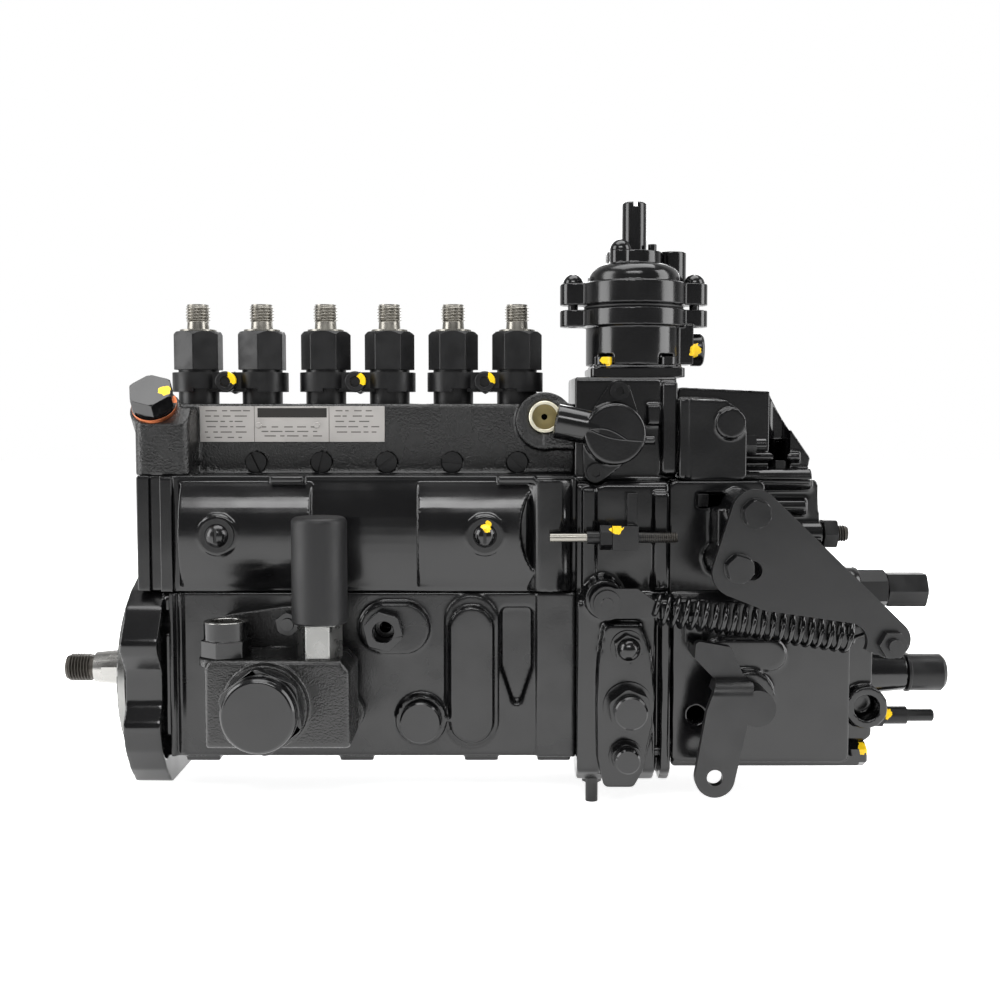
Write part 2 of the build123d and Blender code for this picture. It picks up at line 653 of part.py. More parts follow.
def holder_clamps():
    """Split collars that lock the holders in pairs, drawn together by one screw."""
    split = 0.6
    bridge_front = -9.5
    for pair in range(element_count // 2):
        left = element_x(2 * pair)
        right = element_x(2 * pair + 1)
        centre = (left + right) / 2
        collar = Pos(left, 0) * Circle(clamp_ring_radius) + Pos(right, 0) * Circle(clamp_ring_radius)
        collar += Pos(centre, 0) * Rectangle(right - left, 2 * abs(bridge_front))
        collar -= Pos(left, 0) * Circle(holder_stem_radius + seat_gap)
        collar -= Pos(right, 0) * Circle(holder_stem_radius + seat_gap)
        body = along_z(collar, clamp_bottom_z, clamp_top_z)
        body -= block((left, right), (-40, bridge_front + 2.4), (clamp_bottom_z - 1, clamp_bottom_z + 1.6))
        middle_z = (clamp_bottom_z + clamp_top_z) / 2
        body -= rod((centre, -30, middle_z), to_back, 3.0 + seat_gap, 60)
        keep("holder_clamps", body & block((0, 250), (-40, -split), (100, 200)),
             body & block((0, 250), (split, 40), (100, 200)))
        head = rod((centre, bridge_front, middle_z), to_front, 5.2, 5.0)
        head = chamfer(head.edges().group_by(Axis.Y)[0], 0.6)
        head -= rod((centre, bridge_front - 3, middle_z), to_front, 2.6, 5)
        screw = head + rod((centre, bridge_front, middle_z), to_back, 3.0, 2 * abs(bridge_front) + 7)
        nut = hexagon((centre, -bridge_front, middle_z), to_back, 10.0, 5.0)
        nut -= rod((centre, 0, middle_z), to_back, 3.0 + seat_gap, 30)
        keep("clamp_screws", screw, nut)


# ================================================================ outside of the pump housing
def side_cover():
    """Cast cover of the spring chamber with two bulged panels and an end column."""
    seat = cover_seat_y - gasket_thickness
    face = seat - cover_plate_thickness
    plate = along_y(rounded([(housing_left_x, cover_bottom_z + 0.3), (housing_end_x, cover_bottom_z + 0.3),
                             (housing_end_x, cover_top_z), (housing_left_x, cover_top_z)], 1.2), face, seat)
    plate -= block((11.0, 16.6), (face - 1, face + 2.4), (cover_bottom_z - 1, cover_top_z + 1))
    plate += block((16.6, 22.4), (face - 2.4, face + 0.1), (cover_bottom_z + 0.3, cover_top_z - 0.6))
    low = cover_bottom_z + 2.0
    high = cover_top_z - 2.6
    centre_z = (low + high) / 2

    def bulge(x_start, x_end, height):
        arc = ThreePointArc((face, low), (face - height, centre_z + 4), (face, high))
        return along_x(make_face([arc, Line((face, high), (face, low))]), x_start, x_end)

    left_panel = bulge(26.0, 88.0, cover_bulge)
    right_panel = bulge(138.5, 204.0, cover_bulge)
    right_panel -= rod((end_sweep_x, face, end_sweep_z), to_front, end_sweep_radius, 40)
    centre_panel = bulge(88.0, 138.5, 3.0)
    column = rod((200.5, face + 4.5, low - 1.0), up, 11.5, high - low + 2)
    column &= block((180, 220), (-90, face + 0.1), (0, 200))
    plate += left_panel
    plate += right_panel
    plate += centre_panel
    plate += column
    for x_start, x_end in ((69.0, 85.0), (176.0, 193.5)):
        plate += block((x_start, x_end), (face - 5.0, face + 0.1), (high - 0.6, cover_top_z))
    for x in cover_screw_x:
        plate += rod((x, face + 0.1, cover_screw_z), to_front, 9.5, cover_bulge + 0.6)
        plate -= rod((x, face - 20, cover_screw_z), to_back, cover_screw_radius + screw_gap, 40)
    for x_start, x_end in ((24, 38), (52, 163), (177, 196)):
        plate -= block((x_start, x_end), (face + 2.4, seat + 1), (54, 90))
    keep("side_cover", plate)
    gasket = along_y(rounded([(housing_left_x + 0.5, cover_bottom_z + 0.6),
                              (housing_end_x - 0.5, cover_bottom_z + 0.6),
                              (housing_end_x - 0.5, cover_top_z - 0.4), (housing_left_x + 0.5,
                                                                         cover_top_z - 0.4)], 1.2),
                     seat, cover_seat_y)
    gasket -= block((14, 204), (-60, 0), (chamber_bottom_z + 1, chamber_top_z - 1))
    for x in cover_screw_x:
        gasket -= rod((x, -60, cover_screw_z), to_back, cover_screw_radius + screw_gap, 60)
    keep("gaskets", gasket)
    for x in cover_screw_x:
        seat_y = face - cover_bulge - 0.5
        washer = tube((x, seat_y, cover_screw_z), to_front, 8.0, cover_screw_radius + screw_gap, 1.4)
        screw = domed_screw((x, seat_y - 1.4, cover_screw_z), to_front, cover_screw_radius, 30, 5.6, 4.0)
        screw -= block((x - 0.7, x + 0.7), (seat_y - 9, seat_y - 4.2), (cover_screw_z - 8, cover_screw_z + 8))
        keep("housing_screws", washer, screw)


def front_fittings():
    """Plugs, vent screw, name plate, fuel port sleeve and oil fitting on the housing."""
    for index in range(element_count):
        x = element_x(index)
        plug = rod((x, band_front_y - 0.6, band_plug_z), to_back, band_plug_radius, band_plug_depth)
        slot = Pos(x, band_front_y, band_plug_z) * (Rot(0, 25 + 40 * index, 0) * Box(12, 2.4, 1.3))
        keep("housing_plugs", plug - slot)
    plate_face = band_front_y - 0.8
    plate = block((30.2, 120.6), (plate_face, band_front_y), (115.3, 132.7))
    for x in (59.0, 87.5):
        plate += rod((x, plate_face, 123.4), to_front, 1.4, 0.7)
    keep("name_plate", plate)
    down = tuple(-n for n in vent_normal)
    lifted = [tuple(s + height * n for s, n in zip(vent_seat, vent_normal)) for height in (0, 2.0, 4.0)]
    keep("vent_screw", tube(lifted[0], vent_normal, vent_washer_radius, vent_thread_radius + seat_gap, 2.0))
    vent = rod(lifted[1], vent_normal, vent_washer_radius - 1.4, 2.0)
    vent += hex_head(lifted[2], vent_normal, vent_hex, 7.6, 12)
    vent += rod(lifted[1], down, vent_thread_radius, vent_thread_length)
    keep("vent_screw", vent)
    sleeve = tube((fuel_port_x, fuel_port_y, fuel_port_z), to_back, fuel_sleeve_radius, 6.0, 13)
    keep("fuel_port_sleeve", sleeve)
    oil_hex = hexagon((oil_port_x, oil_boss_y, oil_port_z), to_front, 17.0, 9.0, 15)
    oil_hex = oil_hex & rod((oil_port_x, oil_boss_y, oil_port_z), to_front, 9.4, 9.0)
    oil_hex += rod((oil_port_x, oil_boss_y, oil_port_z), to_back, oil_fitting_thread, 12)
    oil_hex -= rod((oil_port_x, oil_boss_y - 20, oil_port_z), to_back, 5.0, 26)
    oil_hex -= rod((oil_port_x, oil_boss_y - 20, oil_port_z), to_back, 2.5, 60)
    keep("oil_inlet_fitting", oil_hex)
    face = housing_front_y - 3.5
    plug = hexagon((drain_x, face, drain_z), to_front, 17.6, 3.0) & rod((drain_x, face, drain_z), to_front,
                                                                        9.8, 3.0)
    plug += chamfer(rod((drain_x, face - 3, drain_z), to_front, 9.8, 3.6).edges().group_by(Axis.Y)[0], 0.8)
    plug += rod((drain_x, face, drain_z), to_back, drain_thread, 11)
    keep("housing_plugs", plug)


# ================================================================ feed pump
feed_seat_y = housing_front_y - gasket_thickness
feed_body_back_y = -54.0
feed_body_front_y = -89.0
feed_bore_radius = 11.0
feed_bore_end_y = -62.0
feed_tappet_radius = 10.9
feed_roller_radius = 6.5
port_thread_radius = 8.5
port_thread_length = 11.0
priming_barrel_radius = 9.5
priming_bore_radius = 8.0
priming_rod_radius = 3.0


def feed_pump():
    spots = [Pos(x, z) * Circle(8.0) for x, z in feed_studs]
    edges = (Pos(feed_cam_x, 0) * Circle(20.0)).edges()
    for spot in spots:
        edges += spot.edges()
    body = along_y(make_hull(edges), feed_flange_y, feed_seat_y)
    outline = rounded([(feed_left_x, feed_bottom_z), (feed_right_x, feed_bottom_z), (feed_right_x, 15),
                       (feed_right_x - 4, feed_top_z), (feed_left_x + 2, feed_top_z), (feed_left_x, 17)], 1.6)
    core = along_y(outline, feed_body_front_y, feed_body_back_y)
    body += fillet(core.edges().group_by(Axis.Y)[0], 2.5)
    body += rod((feed_cam_x, feed_flange_y + 1, 0), to_front, 19.0, feed_flange_y + 1 - feed_face_y)
    body += rod((feed_cam_x, feed_seat_y, 0), to_back, feed_spigot_radius, 13)
    body += rod((feed_inlet_x, feed_port_y, feed_top_z - 4), up, 12.0, 4.0)
    body -= rod((feed_cam_x, feed_seat_y + 20, 0), to_front, feed_tappet_radius + running_fit, 33 + 7)
    body -= rod((feed_cam_x, feed_seat_y, 0), to_front, 3.0 + running_fit, 60)
    body -= rod((feed_cam_x, feed_bore_end_y - 3, 0), to_front, feed_bore_radius, 60)
    for x in (feed_inlet_x, priming_x):
        body -= rod((x, feed_port_y, feed_top_z + 5), down, port_thread_radius + seat_gap,
                    port_thread_length + 5)
        body -= rod((x, feed_port_y, feed_top_z), down, 4.0, 20)
    body -= rod((feed_inlet_x, feed_port_y, feed_top_z - 16), to_rear, 3.0, priming_x - feed_inlet_x)
    for x, z in feed_studs:
        body -= rod((x, -30, z), to_front, feed_stud_radius + seat_gap, 22)
        body -= rod((x, feed_flange_y, z), to_front, 6.6, feed_nut_room)
    keep("feed_pump_body", body)
    gasket_edges = (Pos(feed_cam_x, 0) * Circle(19.6)).edges()
    for x, z in feed_studs:
        gasket_edges += (Pos(x, z) * Circle(7.6)).edges()
    gasket = along_y(make_hull(gasket_edges), feed_seat_y, housing_front_y)
    gasket -= rod((feed_cam_x, 0, 0), to_front, feed_spigot_radius + 0.3, 60)
    for x, z in feed_studs:
        gasket -= rod((x, 0, z), to_front, feed_stud_radius + 0.4, 60)
    gasket -= block((20.0, 26.5), (-60, 0), (-60, 60))
    keep("gaskets", gasket)
    for x, z in feed_studs:
        stud = rod((x, housing_front_y + 7, z), to_front, feed_stud_radius,
                   abs(feed_flange_y - housing_front_y) + 13.5)
        nut = hex_head((x, feed_flange_y, z), to_front, 10.0, 5.0, 10)
        nut -= rod((x, 0, z), to_front, feed_stud_radius + seat_gap, 90)
        keep("housing_screws", stud, nut)
    # closing plug with its sealing washer
    washer = tube((feed_cam_x, feed_face_y, 0), to_front, 17.8, feed_bore_radius + 0.3, 1.6)
    keep("gaskets", washer)
    plug_face = feed_face_y - 1.6
    plug = hexagon((feed_cam_x, plug_face, 0), to_front, feed_plug_hex, 7.0, 8)
    plug &= rod((feed_cam_x, plug_face, 0), to_front, feed_plug_hex / sqrt(3) - 0.8, 7.0)
    cap = rod((feed_cam_x, plug_face - 7, 0), to_front, 16.4, 7.4)
    plug += chamfer(cap.edges().group_by(Axis.Y)[0], 1.4)
    plug += rod((feed_cam_x, plug_face, 0), to_back, feed_bore_radius - seat_gap, 8)
    plug -= rod((feed_cam_x, plug_face + 9, 0), to_front, 7.5, 12)
    keep("feed_pump_plug", plug)
    # inner parts: roller tappet, push rod, piston and spring
    roller_y = -(feed_cam_throw + cam_base_radius + feed_roller_radius + running_fit)
    tappet_back = roller_y + 3.5
    tappet = rod((feed_cam_x, tappet_back, 0), to_front, feed_tappet_radius, 26)
    half = 4.3
    tappet -= block((feed_cam_x - half, feed_cam_x + half), (roller_y - 7.5, tappet_back + 1), (-8, 8))
    for side in (-1, 1):
        flat = feed_cam_x + side * (feed_tappet_flat + 5)
        tappet -= block((flat - 5, flat + 5), (tappet_back - 9, tappet_back + 1), (-20, 20))
    tappet -= rod((feed_cam_x - 20, roller_y, 0), to_rear, 2.0 + seat_gap, 40)
    roller = tube((feed_cam_x - half + 0.3, roller_y, 0), to_rear, feed_roller_radius, 2.0 + running_fit,
                  2 * half - 0.6)
    pin = rod((feed_cam_x - feed_tappet_flat + 0.2, roller_y, 0), to_rear, 2.0, 2 * feed_tappet_flat - 0.4)
    keep("feed_pump_tappet", tappet, roller, pin)
    push_start = tappet_back - 26 - 0.05
    piston_back = feed_bore_end_y - 8.0
    keep("feed_pump_tappet", rod((feed_cam_x, push_start, 0), to_front, 3.0, push_start - piston_back - 0.05))
    piston = rod((feed_cam_x, piston_back, 0), to_front, feed_bore_radius - running_fit, 13)
    piston -= rod((feed_cam_x, piston_back - 5, 0), to_front, 8.0, 12)
    keep("feed_piston", piston)
    spring_length = (piston_back - 5) - (plug_face - 3)
    place = Plane(origin=(feed_cam_x, piston_back - 5 - 0.05, 0), z_dir=to_front)
    keep("feed_piston", place * coil(6.0, 0.9, 0, spring_length - 0.1, 5))
    # inlet union
    inlet = hexagon((feed_inlet_x, feed_port_y, feed_top_z), up, 20.0, 7.6, 20)
    inlet &= rod((feed_inlet_x, feed_port_y, feed_top_z), up, 11.2, 7.6)
    inlet += rod((feed_inlet_x, feed_port_y, feed_top_z + 7.6), up, 9.9, 8.4)
    inlet += rod((feed_inlet_x, feed_port_y, feed_top_z), down, port_thread_radius, port_thread_length)
    inlet -= rod((feed_inlet_x, feed_port_y, feed_top_z + 4), up, 7.0, 20)
    inlet -= rod((feed_inlet_x, feed_port_y, feed_top_z - 20), up, 4.0, 40)
    keep("feed_inlet_union", inlet)


def priming_pump():
    foot = (priming_x, feed_port_y, feed_top_z)
    base = hexagon(foot, up, 18.0, 14.4, 0) & rod(foot, up, 10.1, 14.4)
    base += rod(foot, down, port_thread_radius, port_thread_length)
    base += rod((priming_x, feed_port_y, feed_top_z + 14), up, priming_barrel_radius - 0.1,
                priming_barrel_top_z - feed_top_z - 14)
    base -= rod((priming_x, feed_port_y, feed_top_z + 2), up, priming_bore_radius,
                priming_barrel_top_z - feed_top_z - 5)
    base -= rod((priming_x, feed_port_y, feed_top_z + 2), up, priming_rod_radius + running_fit, 60)
    base -= rod((priming_x, feed_port_y, feed_top_z - 20), up, 4.0, 30)
    keep("priming_barrel", base)
    knob = rod((priming_x, feed_port_y, priming_knob_bottom_z), up, priming_knob_radius,
               priming_knob_top_z - priming_knob_bottom_z)
    knob = fillet(knob.edges().group_by(Axis.Z)[-1], 2.8)
    knob = chamfer(knob.edges().group_by(Axis.Z)[0], 0.6)
    knob -= rod((priming_x, feed_port_y, priming_knob_bottom_z - 1), up, priming_barrel_radius,
                priming_knob_top_z - priming_knob_bottom_z - 6)
    knob -= rod((priming_x, feed_port_y, 40), up, priming_rod_radius + seat_gap, priming_knob_top_z - 3 - 40)
    keep("priming_knob", knob)
    piston_z = feed_top_z + 2.4
    piston = rod((priming_x, feed_port_y, piston_z), up, priming_bore_radius - running_fit, 9)
    piston += rod((priming_x, feed_port_y, piston_z), up, priming_rod_radius,
                  priming_knob_top_z - 3 - piston_z)
    keep("priming_piston", piston)


# ================================================================ governor casings
upper_front_y = -45.0
top_block_front_y = -30.0
top_block_back_y = 30.0
upper_case_z = 97.0
top_block_right_x = 262.0
plug_plate_points = (
    (225, 32.5), (241.6, 32.5), (246, 20), (248.4, 1), (247.5, -15), (243, -36), (238.8, -43.5),
    (225, -43.5), (222.3, -30), (221.6, -5), (222.5, 16),
)
acorn_spot = (235.6, 22.0)
large_plug_spot = (236.0, -5.5)
small_plug_spot = (235.0, -28.5)
cap_x = 231.0
cap_z = 119.5
cap_flange_y = -34.5
cap_face_y = -48.5
cap_radius = 14.5
cap_ears = ((233.8, 139.7), (222.8, 101.0))
cap_stub_y = -40.5
cap_stub_radius = 8.2
cap_stub_direction = (-1, 0, 0.2)
joint_screws = ((-50, -30), (-50, 34), (42, -32), (42, 36), (-36, 88), (32, 88))
joint_screw_radius = 3.0
drain_pin_x = 221.0
boost_screw_spots = ((227.5, -19.0), (259.0, -19.0), (227.5, 19.0), (259.0, 19.0))
link_z = 72.0
link_y = -60.0


def governor_housing():
    """Casing between the pump housing and the governor cover, with the compensator on top."""
    right = governor_split_x
    lower = rounded([(governor_front_y, -38), (-50, governor_bottom_z), (38, governor_bottom_z),
                     (governor_back_y, -34), (governor_back_y, 44), (40, 60), (36, upper_case_z),
                     (upper_front_y, upper_case_z), (upper_front_y, side_plate_top_z),
                     (governor_front_y, side_plate_top_z)], 3.0)
    casing = along_x(lower, housing_end_x, right - 0.3)
    # narrower waist towards the pump, so that the joint flange stands proud
    waist = rounded([(-80, -80), (80, -80), (80, 42), (-80, 42)], 0)
    inner = rounded([(-52, -35), (-46, -41), (34, -41), (44, -31), (44, 60), (-52, 60)], 3.0)
    casing -= along_x(waist - inner, 249.5, 252.0)
    top_block = rounded([(top_block_front_y, upper_case_z - 12), (top_block_back_y, upper_case_z - 12),
                         (top_block_back_y, boost_base_z), (top_block_front_y, boost_base_z)], 2.0)
    casing += along_x(top_block, housing_end_x, top_block_right_x)
    casing -= block((right - 0.3, 300), (-90, 90), (-90, upper_case_z + 0.3))
    casing += along_y(rounded(list(plug_plate_points), 2.6), plug_plate_y, governor_front_y + 1)
    # raised frame on the upper front face and the web beside the cap
    casing += block((216, 222), (upper_front_y - 2.5, upper_front_y + 1), (44, 94))
    casing += block((249.5, 256.6), (upper_front_y - 3.5, upper_front_y + 1), (46, 92))
    casing += block((254.5, 261.9), (top_block_front_y - 5.0, top_block_front_y + 1), (100, 144))
    casing += block((248, 256), (top_block_front_y - 2.2, top_block_front_y + 1), (124, 133))
    casing += rod((spring_anchor_x, governor_front_y + 12, spring_anchor_z), to_front, 9.0, 15.0)
    casing += block((spring_anchor_x - 6, spring_anchor_x + 22),
                    (governor_front_y - 1, governor_front_y + 14), (36, 43))
    # chambers
    casing -= rod((housing_end_x + 5, 0, 0), to_rear, governor_cavity_radius, 60)
    casing -= block((housing_end_x + 5, right + 1), (-26, 26), (0, 90))
    casing -= block((housing_end_x + 5, top_block_right_x - 5), (-22, 22), (80, 138))
    casing -= rod((rear_bearing_x, 0, 0), to_rear, 21.0, 30)
    casing -= rod((housing_end_x - 5, rack_arm_radius, rack_z), to_rear, rack_radius + 0.4, 12)
    for y, z in end_screws:
        casing -= rod((housing_end_x - 1, y, z), to_rear, end_screw_radius + screw_gap, 8)
        casing -= rod((housing_end_x + 5, y, z), to_rear, 6.5, 14) & block((200, 300), (-45, 45), (-60, 140))
    for y, z in joint_screws:
        casing -= rod((right + 1, y, z), to_drive, joint_screw_radius + seat_gap, 16)
    # bores for the plugs, the cap, the compensator and the spring anchor
    for (x, z), radius in ((acorn_spot, 3.0), (large_plug_spot, 6.0), (small_plug_spot, 5.0)):
        casing -= rod((x, plug_plate_y - 1, z), to_back, radius + seat_gap, 13)
    casing -= rod((cap_x, top_block_front_y - 1, cap_z), to_back, 11.0, 12)
    casing -= rod((cap_x - 8, cap_stub_y, cap_z + 2.2), cap_stub_direction, cap_stub_radius + screw_gap, 24)
    for x, z in cap_ears:
        casing -= rod((x, top_block_front_y - 6, z), to_back, 2.5 + seat_gap, 16)
        casing -= rod((x, top_block_front_y - 0.1, z), to_front, 6.0, 30)
    casing -= rod((boost_x, 0, 120), up, 6.0, 40)
    for x, y in boost_screw_spots:
        casing -= rod((x, y, boost_base_z + 1), down, 2.5 + seat_gap, 11)
    casing -= rod((spring_anchor_x, governor_front_y - 8, spring_anchor_z), to_back, 3.0 + seat_gap, 14)
    casing -= rod((drain_pin_x, -42, governor_bottom_z - 1), up, 3.0 + seat_gap, 5)
    keep("governor_housing", casing)


right_contour = (
    (354, -24), (354, 30), (352, 48), (336, 56), (333.5, 75), (332, 89), (332, 97),
)
shaft_boss_radius = 12.5
lid_lugs = ((274.0, 34.4), (306.0, 34.4), (326.5, 14.0), (314.0, -18.0))
lug_height = 5.0
front_box_x = 294.5
bead_y = -22.0
bead_radius = 5.4
bracket_post_radius = 8.0
oil_return_spot = (350.0, -9.4)
oil_return_radius = 6.0
nut_pair_spot = (-12.0, 41.6)
capsule_spot = (-20.0, 1.4)
idle_spot = (-25.0, -19.0)
speed_stop_spot = (-22.0, 70.5)


def governor_cover():
    """Rear casing of the governor, open towards the governor housing."""
    left = governor_split_x
    seat = left + 0.3
    lower = rounded([(seat, cover_bottom_edge_z), (cover_right_x, cover_bottom_edge_z),
                     (cover_right_x, side_plate_top_z), (seat, side_plate_top_z)], 3.0)
    casing = along_y(lower, governor_front_y, governor_back_y)
    outline = rounded([(seat, cover_bottom_edge_z), (344, cover_bottom_edge_z)] + list(right_contour)
                      + [(seat, 97)], 2.5)
    casing += along_y(outline, -24, 40)
    step = rounded([(seat, cover_bottom_edge_z), (303, cover_bottom_edge_z), (303, 97), (seat, 97)], 3.0)
    casing += along_y(step, -41, 0)
    low_step = rounded([(seat, cover_bottom_edge_z), (344, cover_bottom_edge_z), (354, -24), (354, 16),
                        (346, 36),
                        (seat, 36)], 2.5)
    casing += along_y(low_step, -46, 0)
    casing += along_y(rounded([(seat, cover_bottom_edge_z - 2.4), (346, cover_bottom_edge_z - 2.4),
                               (346, cover_bottom_edge_z + 3), (seat, cover_bottom_edge_z
                                                                + 3)], 1.0), -56, 40)
    # pads and bosses on the front face
    casing += along_y(slot_shape(279, 17.2, 302.5, 17.2, 7.2), governor_front_y - 1.6, governor_front_y + 1)
    casing += rod((lever_shaft_x, governor_front_y + 1, lever_shaft_z), to_front, shaft_boss_radius, 8.0)
    for x, z in ((bracket_pivot_x, bracket_pivot_z), (bracket_slot_x, bracket_slot_z)):
        casing += rod((x, -38, z), to_front, bracket_post_radius, abs(bracket_y) - 38 - 0.06)
    casing += block((277, 294), (-60, -38), (bracket_slot_z, bracket_pivot_z))
    # bosses at the rear end
    casing += rod((oil_return_spot[0], -52, oil_return_spot[1]), to_back, 10.0, 16)
    casing += rod((330, nut_pair_spot[0], nut_pair_spot[1]), to_rear, 11.6, 22.5)
    casing += rod((352, nut_pair_spot[0], nut_pair_spot[1]), to_rear, 11.0, 3.0)
    casing += taper((350, capsule_spot[0], capsule_spot[1]), to_rear, 11.4, 8.8, 27.0)
    casing += rod((350, idle_spot[0], idle_spot[1]), to_rear, 7.0, 9.0)
    casing += rod((318, speed_stop_spot[0], speed_stop_spot[1]), to_rear, 5.6, 16.7)
    # horizontal ribs and passages under the top cover
    bead = rod((front_box_x - 1, bead_y, 97.1), to_rear, bead_radius, 35)
    casing += bead & block((250, 350), (-60, 60), (60, 97))
    casing += rod((300, -25, 84.0), to_rear, 3.6, 26)
    # chamber
    cavity = rounded([(seat - 5, cover_bottom_edge_z + 7), (333, cover_bottom_edge_z + 7), (346, -16),
                      (346, 28), (344, 42), (329, 50), (326, 86), (seat - 5, 91)], 3.0)
    casing -= along_y(cavity, -18, 34)
    casing -= block((seat - 1, 296), (-34, 34), (cover_bottom_edge_z + 7, 90))
    casing -= block((seat - 1, 333), (-50, 40), (cover_bottom_edge_z + 7, 36))
    casing -= rod((294, nut_pair_spot[0], nut_pair_spot[1]), to_rear, 9.8, 47.5)
    # lever shaft bore, bolt holes and screw holes
    casing -= rod((lever_shaft_x, governor_front_y - 8, lever_shaft_z), to_back, lever_shaft_radius
                  + running_fit, 110)
    casing += tube((lever_shaft_x, governor_back_y, lever_shaft_z), to_front, 9.0, lever_shaft_radius
                   + running_fit, 12)
    casing -= rod((lever_shaft_x, governor_back_y - 2, lever_shaft_z), to_back, 9.5, 10)
    for x, z in ((bracket_pivot_x, bracket_pivot_z), (bracket_slot_x, bracket_slot_z)):
        casing -= rod((x, bracket_y - 1, z), to_back, 4.0 + seat_gap, 26)
    casing -= rod((268.5, governor_front_y - 1, -11.3), to_back, 4.2, 9)
    casing -= rod((oil_return_spot[0], -53, oil_return_spot[1]), to_back, oil_return_radius, 14)
    casing -= rod((340, nut_pair_spot[0], nut_pair_spot[1]), to_rear, 5.0 + seat_gap, 30)
    casing -= rod((340, capsule_spot[0], capsule_spot[1]), to_rear, 6.0 + seat_gap, 60)
    casing -= rod((340, idle_spot[0], idle_spot[1]), to_rear, 3.0 + seat_gap, 60)
    casing -= rod((317, speed_stop_spot[0], speed_stop_spot[1]), to_rear, 4.0 + seat_gap, 60)
    for y, z in joint_screws:
        casing -= rod((left - 1, y, z), to_rear, joint_screw_radius + screw_gap, 90)
        casing -= rod((left + 14, y, z), to_rear, 6.0, 90)
    for x, y in lid_lugs:
        casing -= rod((x, y, 98), down, 2.5 + seat_gap, 11)
    keep("governor_cover", casing)
    for y, z in joint_screws:
        screw = hex_head((left + 14, y, z), to_rear, 10.0, 5.0) + rod((left + 14, y, z), to_drive,
                                                                      joint_screw_radius, 28)
        keep("governor_screws", screw)
    for y, z in end_screws:
        screw = hex_head((housing_end_x + 5, y, z), to_rear, 9.0, 5.0)
        keep("governor_screws", screw + rod((housing_end_x + 5, y, z), to_drive, end_screw_radius, 18))


def governor_top_cover():
    """Cast lid behind the compensator, in a low front box and a taller rear part."""
    floor = 97.2
    front_box = rounded([(262.6, floor), (front_box_x, floor), (front_box_x, 122), (front_box_x - 3, 130.5),
                         (front_box_x - 10.5, 135.5), (262.6, 136)], 3.0)
    lid = along_y(front_box, -38, -6)
    rear = rounded([(264, floor), (327, floor), (329, 107.5), (319.6, 121), (309, 140), (264, 142)], 2.0)
    lid += along_y(rear, -20, 32)
    lid += rod((286.7, -37, 124.4), to_front, 7.1, 2.8)
    lid += rod((264.5, -34, floor + 1), up, 5.0, 38)
    lid += rod((front_box_x - 1, -20.5, 108), to_rear, 2.2, 30)
    bead = rod((front_box_x - 1, bead_y, floor - 0.1), to_rear, bead_radius, 35)
    lid += bead & block((250, 350), (-60, 60), (floor, 150))
    lid -= block((268, 318), (-16, 27), (floor - 1, 116))
    lid -= block((268, 302), (-16, 27), (floor - 1, 130))
    lid -= block((268, front_box_x - 5), (-32, 27), (floor - 1, 130))
    for x, y in lid_lugs:
        lid += rod((x, y, floor), up, 5.5, lug_height)
        lid -= rod((x, y, floor - 1), up, 2.5 + screw_gap, 60)
        lid -= rod((x, y, floor + lug_height), up, 5.4, 60)
    lid -= block((250, top_block_right_x + 0.3), (-60, 60), (90, 150))
    keep("governor_top_cover", lid)
    for x, y in lid_lugs:
        head = hex_head((x, y, floor + lug_height), up, 8.0, 4.0)
        keep("governor_screws", head + rod((x, y, floor + lug_height), down, 2.5, lug_height + 8))
    union = hexagon((front_box_x + 0.1, -29, 114), to_rear, 9.5, 5.5, 30)
    union += rod((front_box_x + 5.5, -29, 114), to_rear, 3.4, 5.0)
    keep("governor_plugs", union)


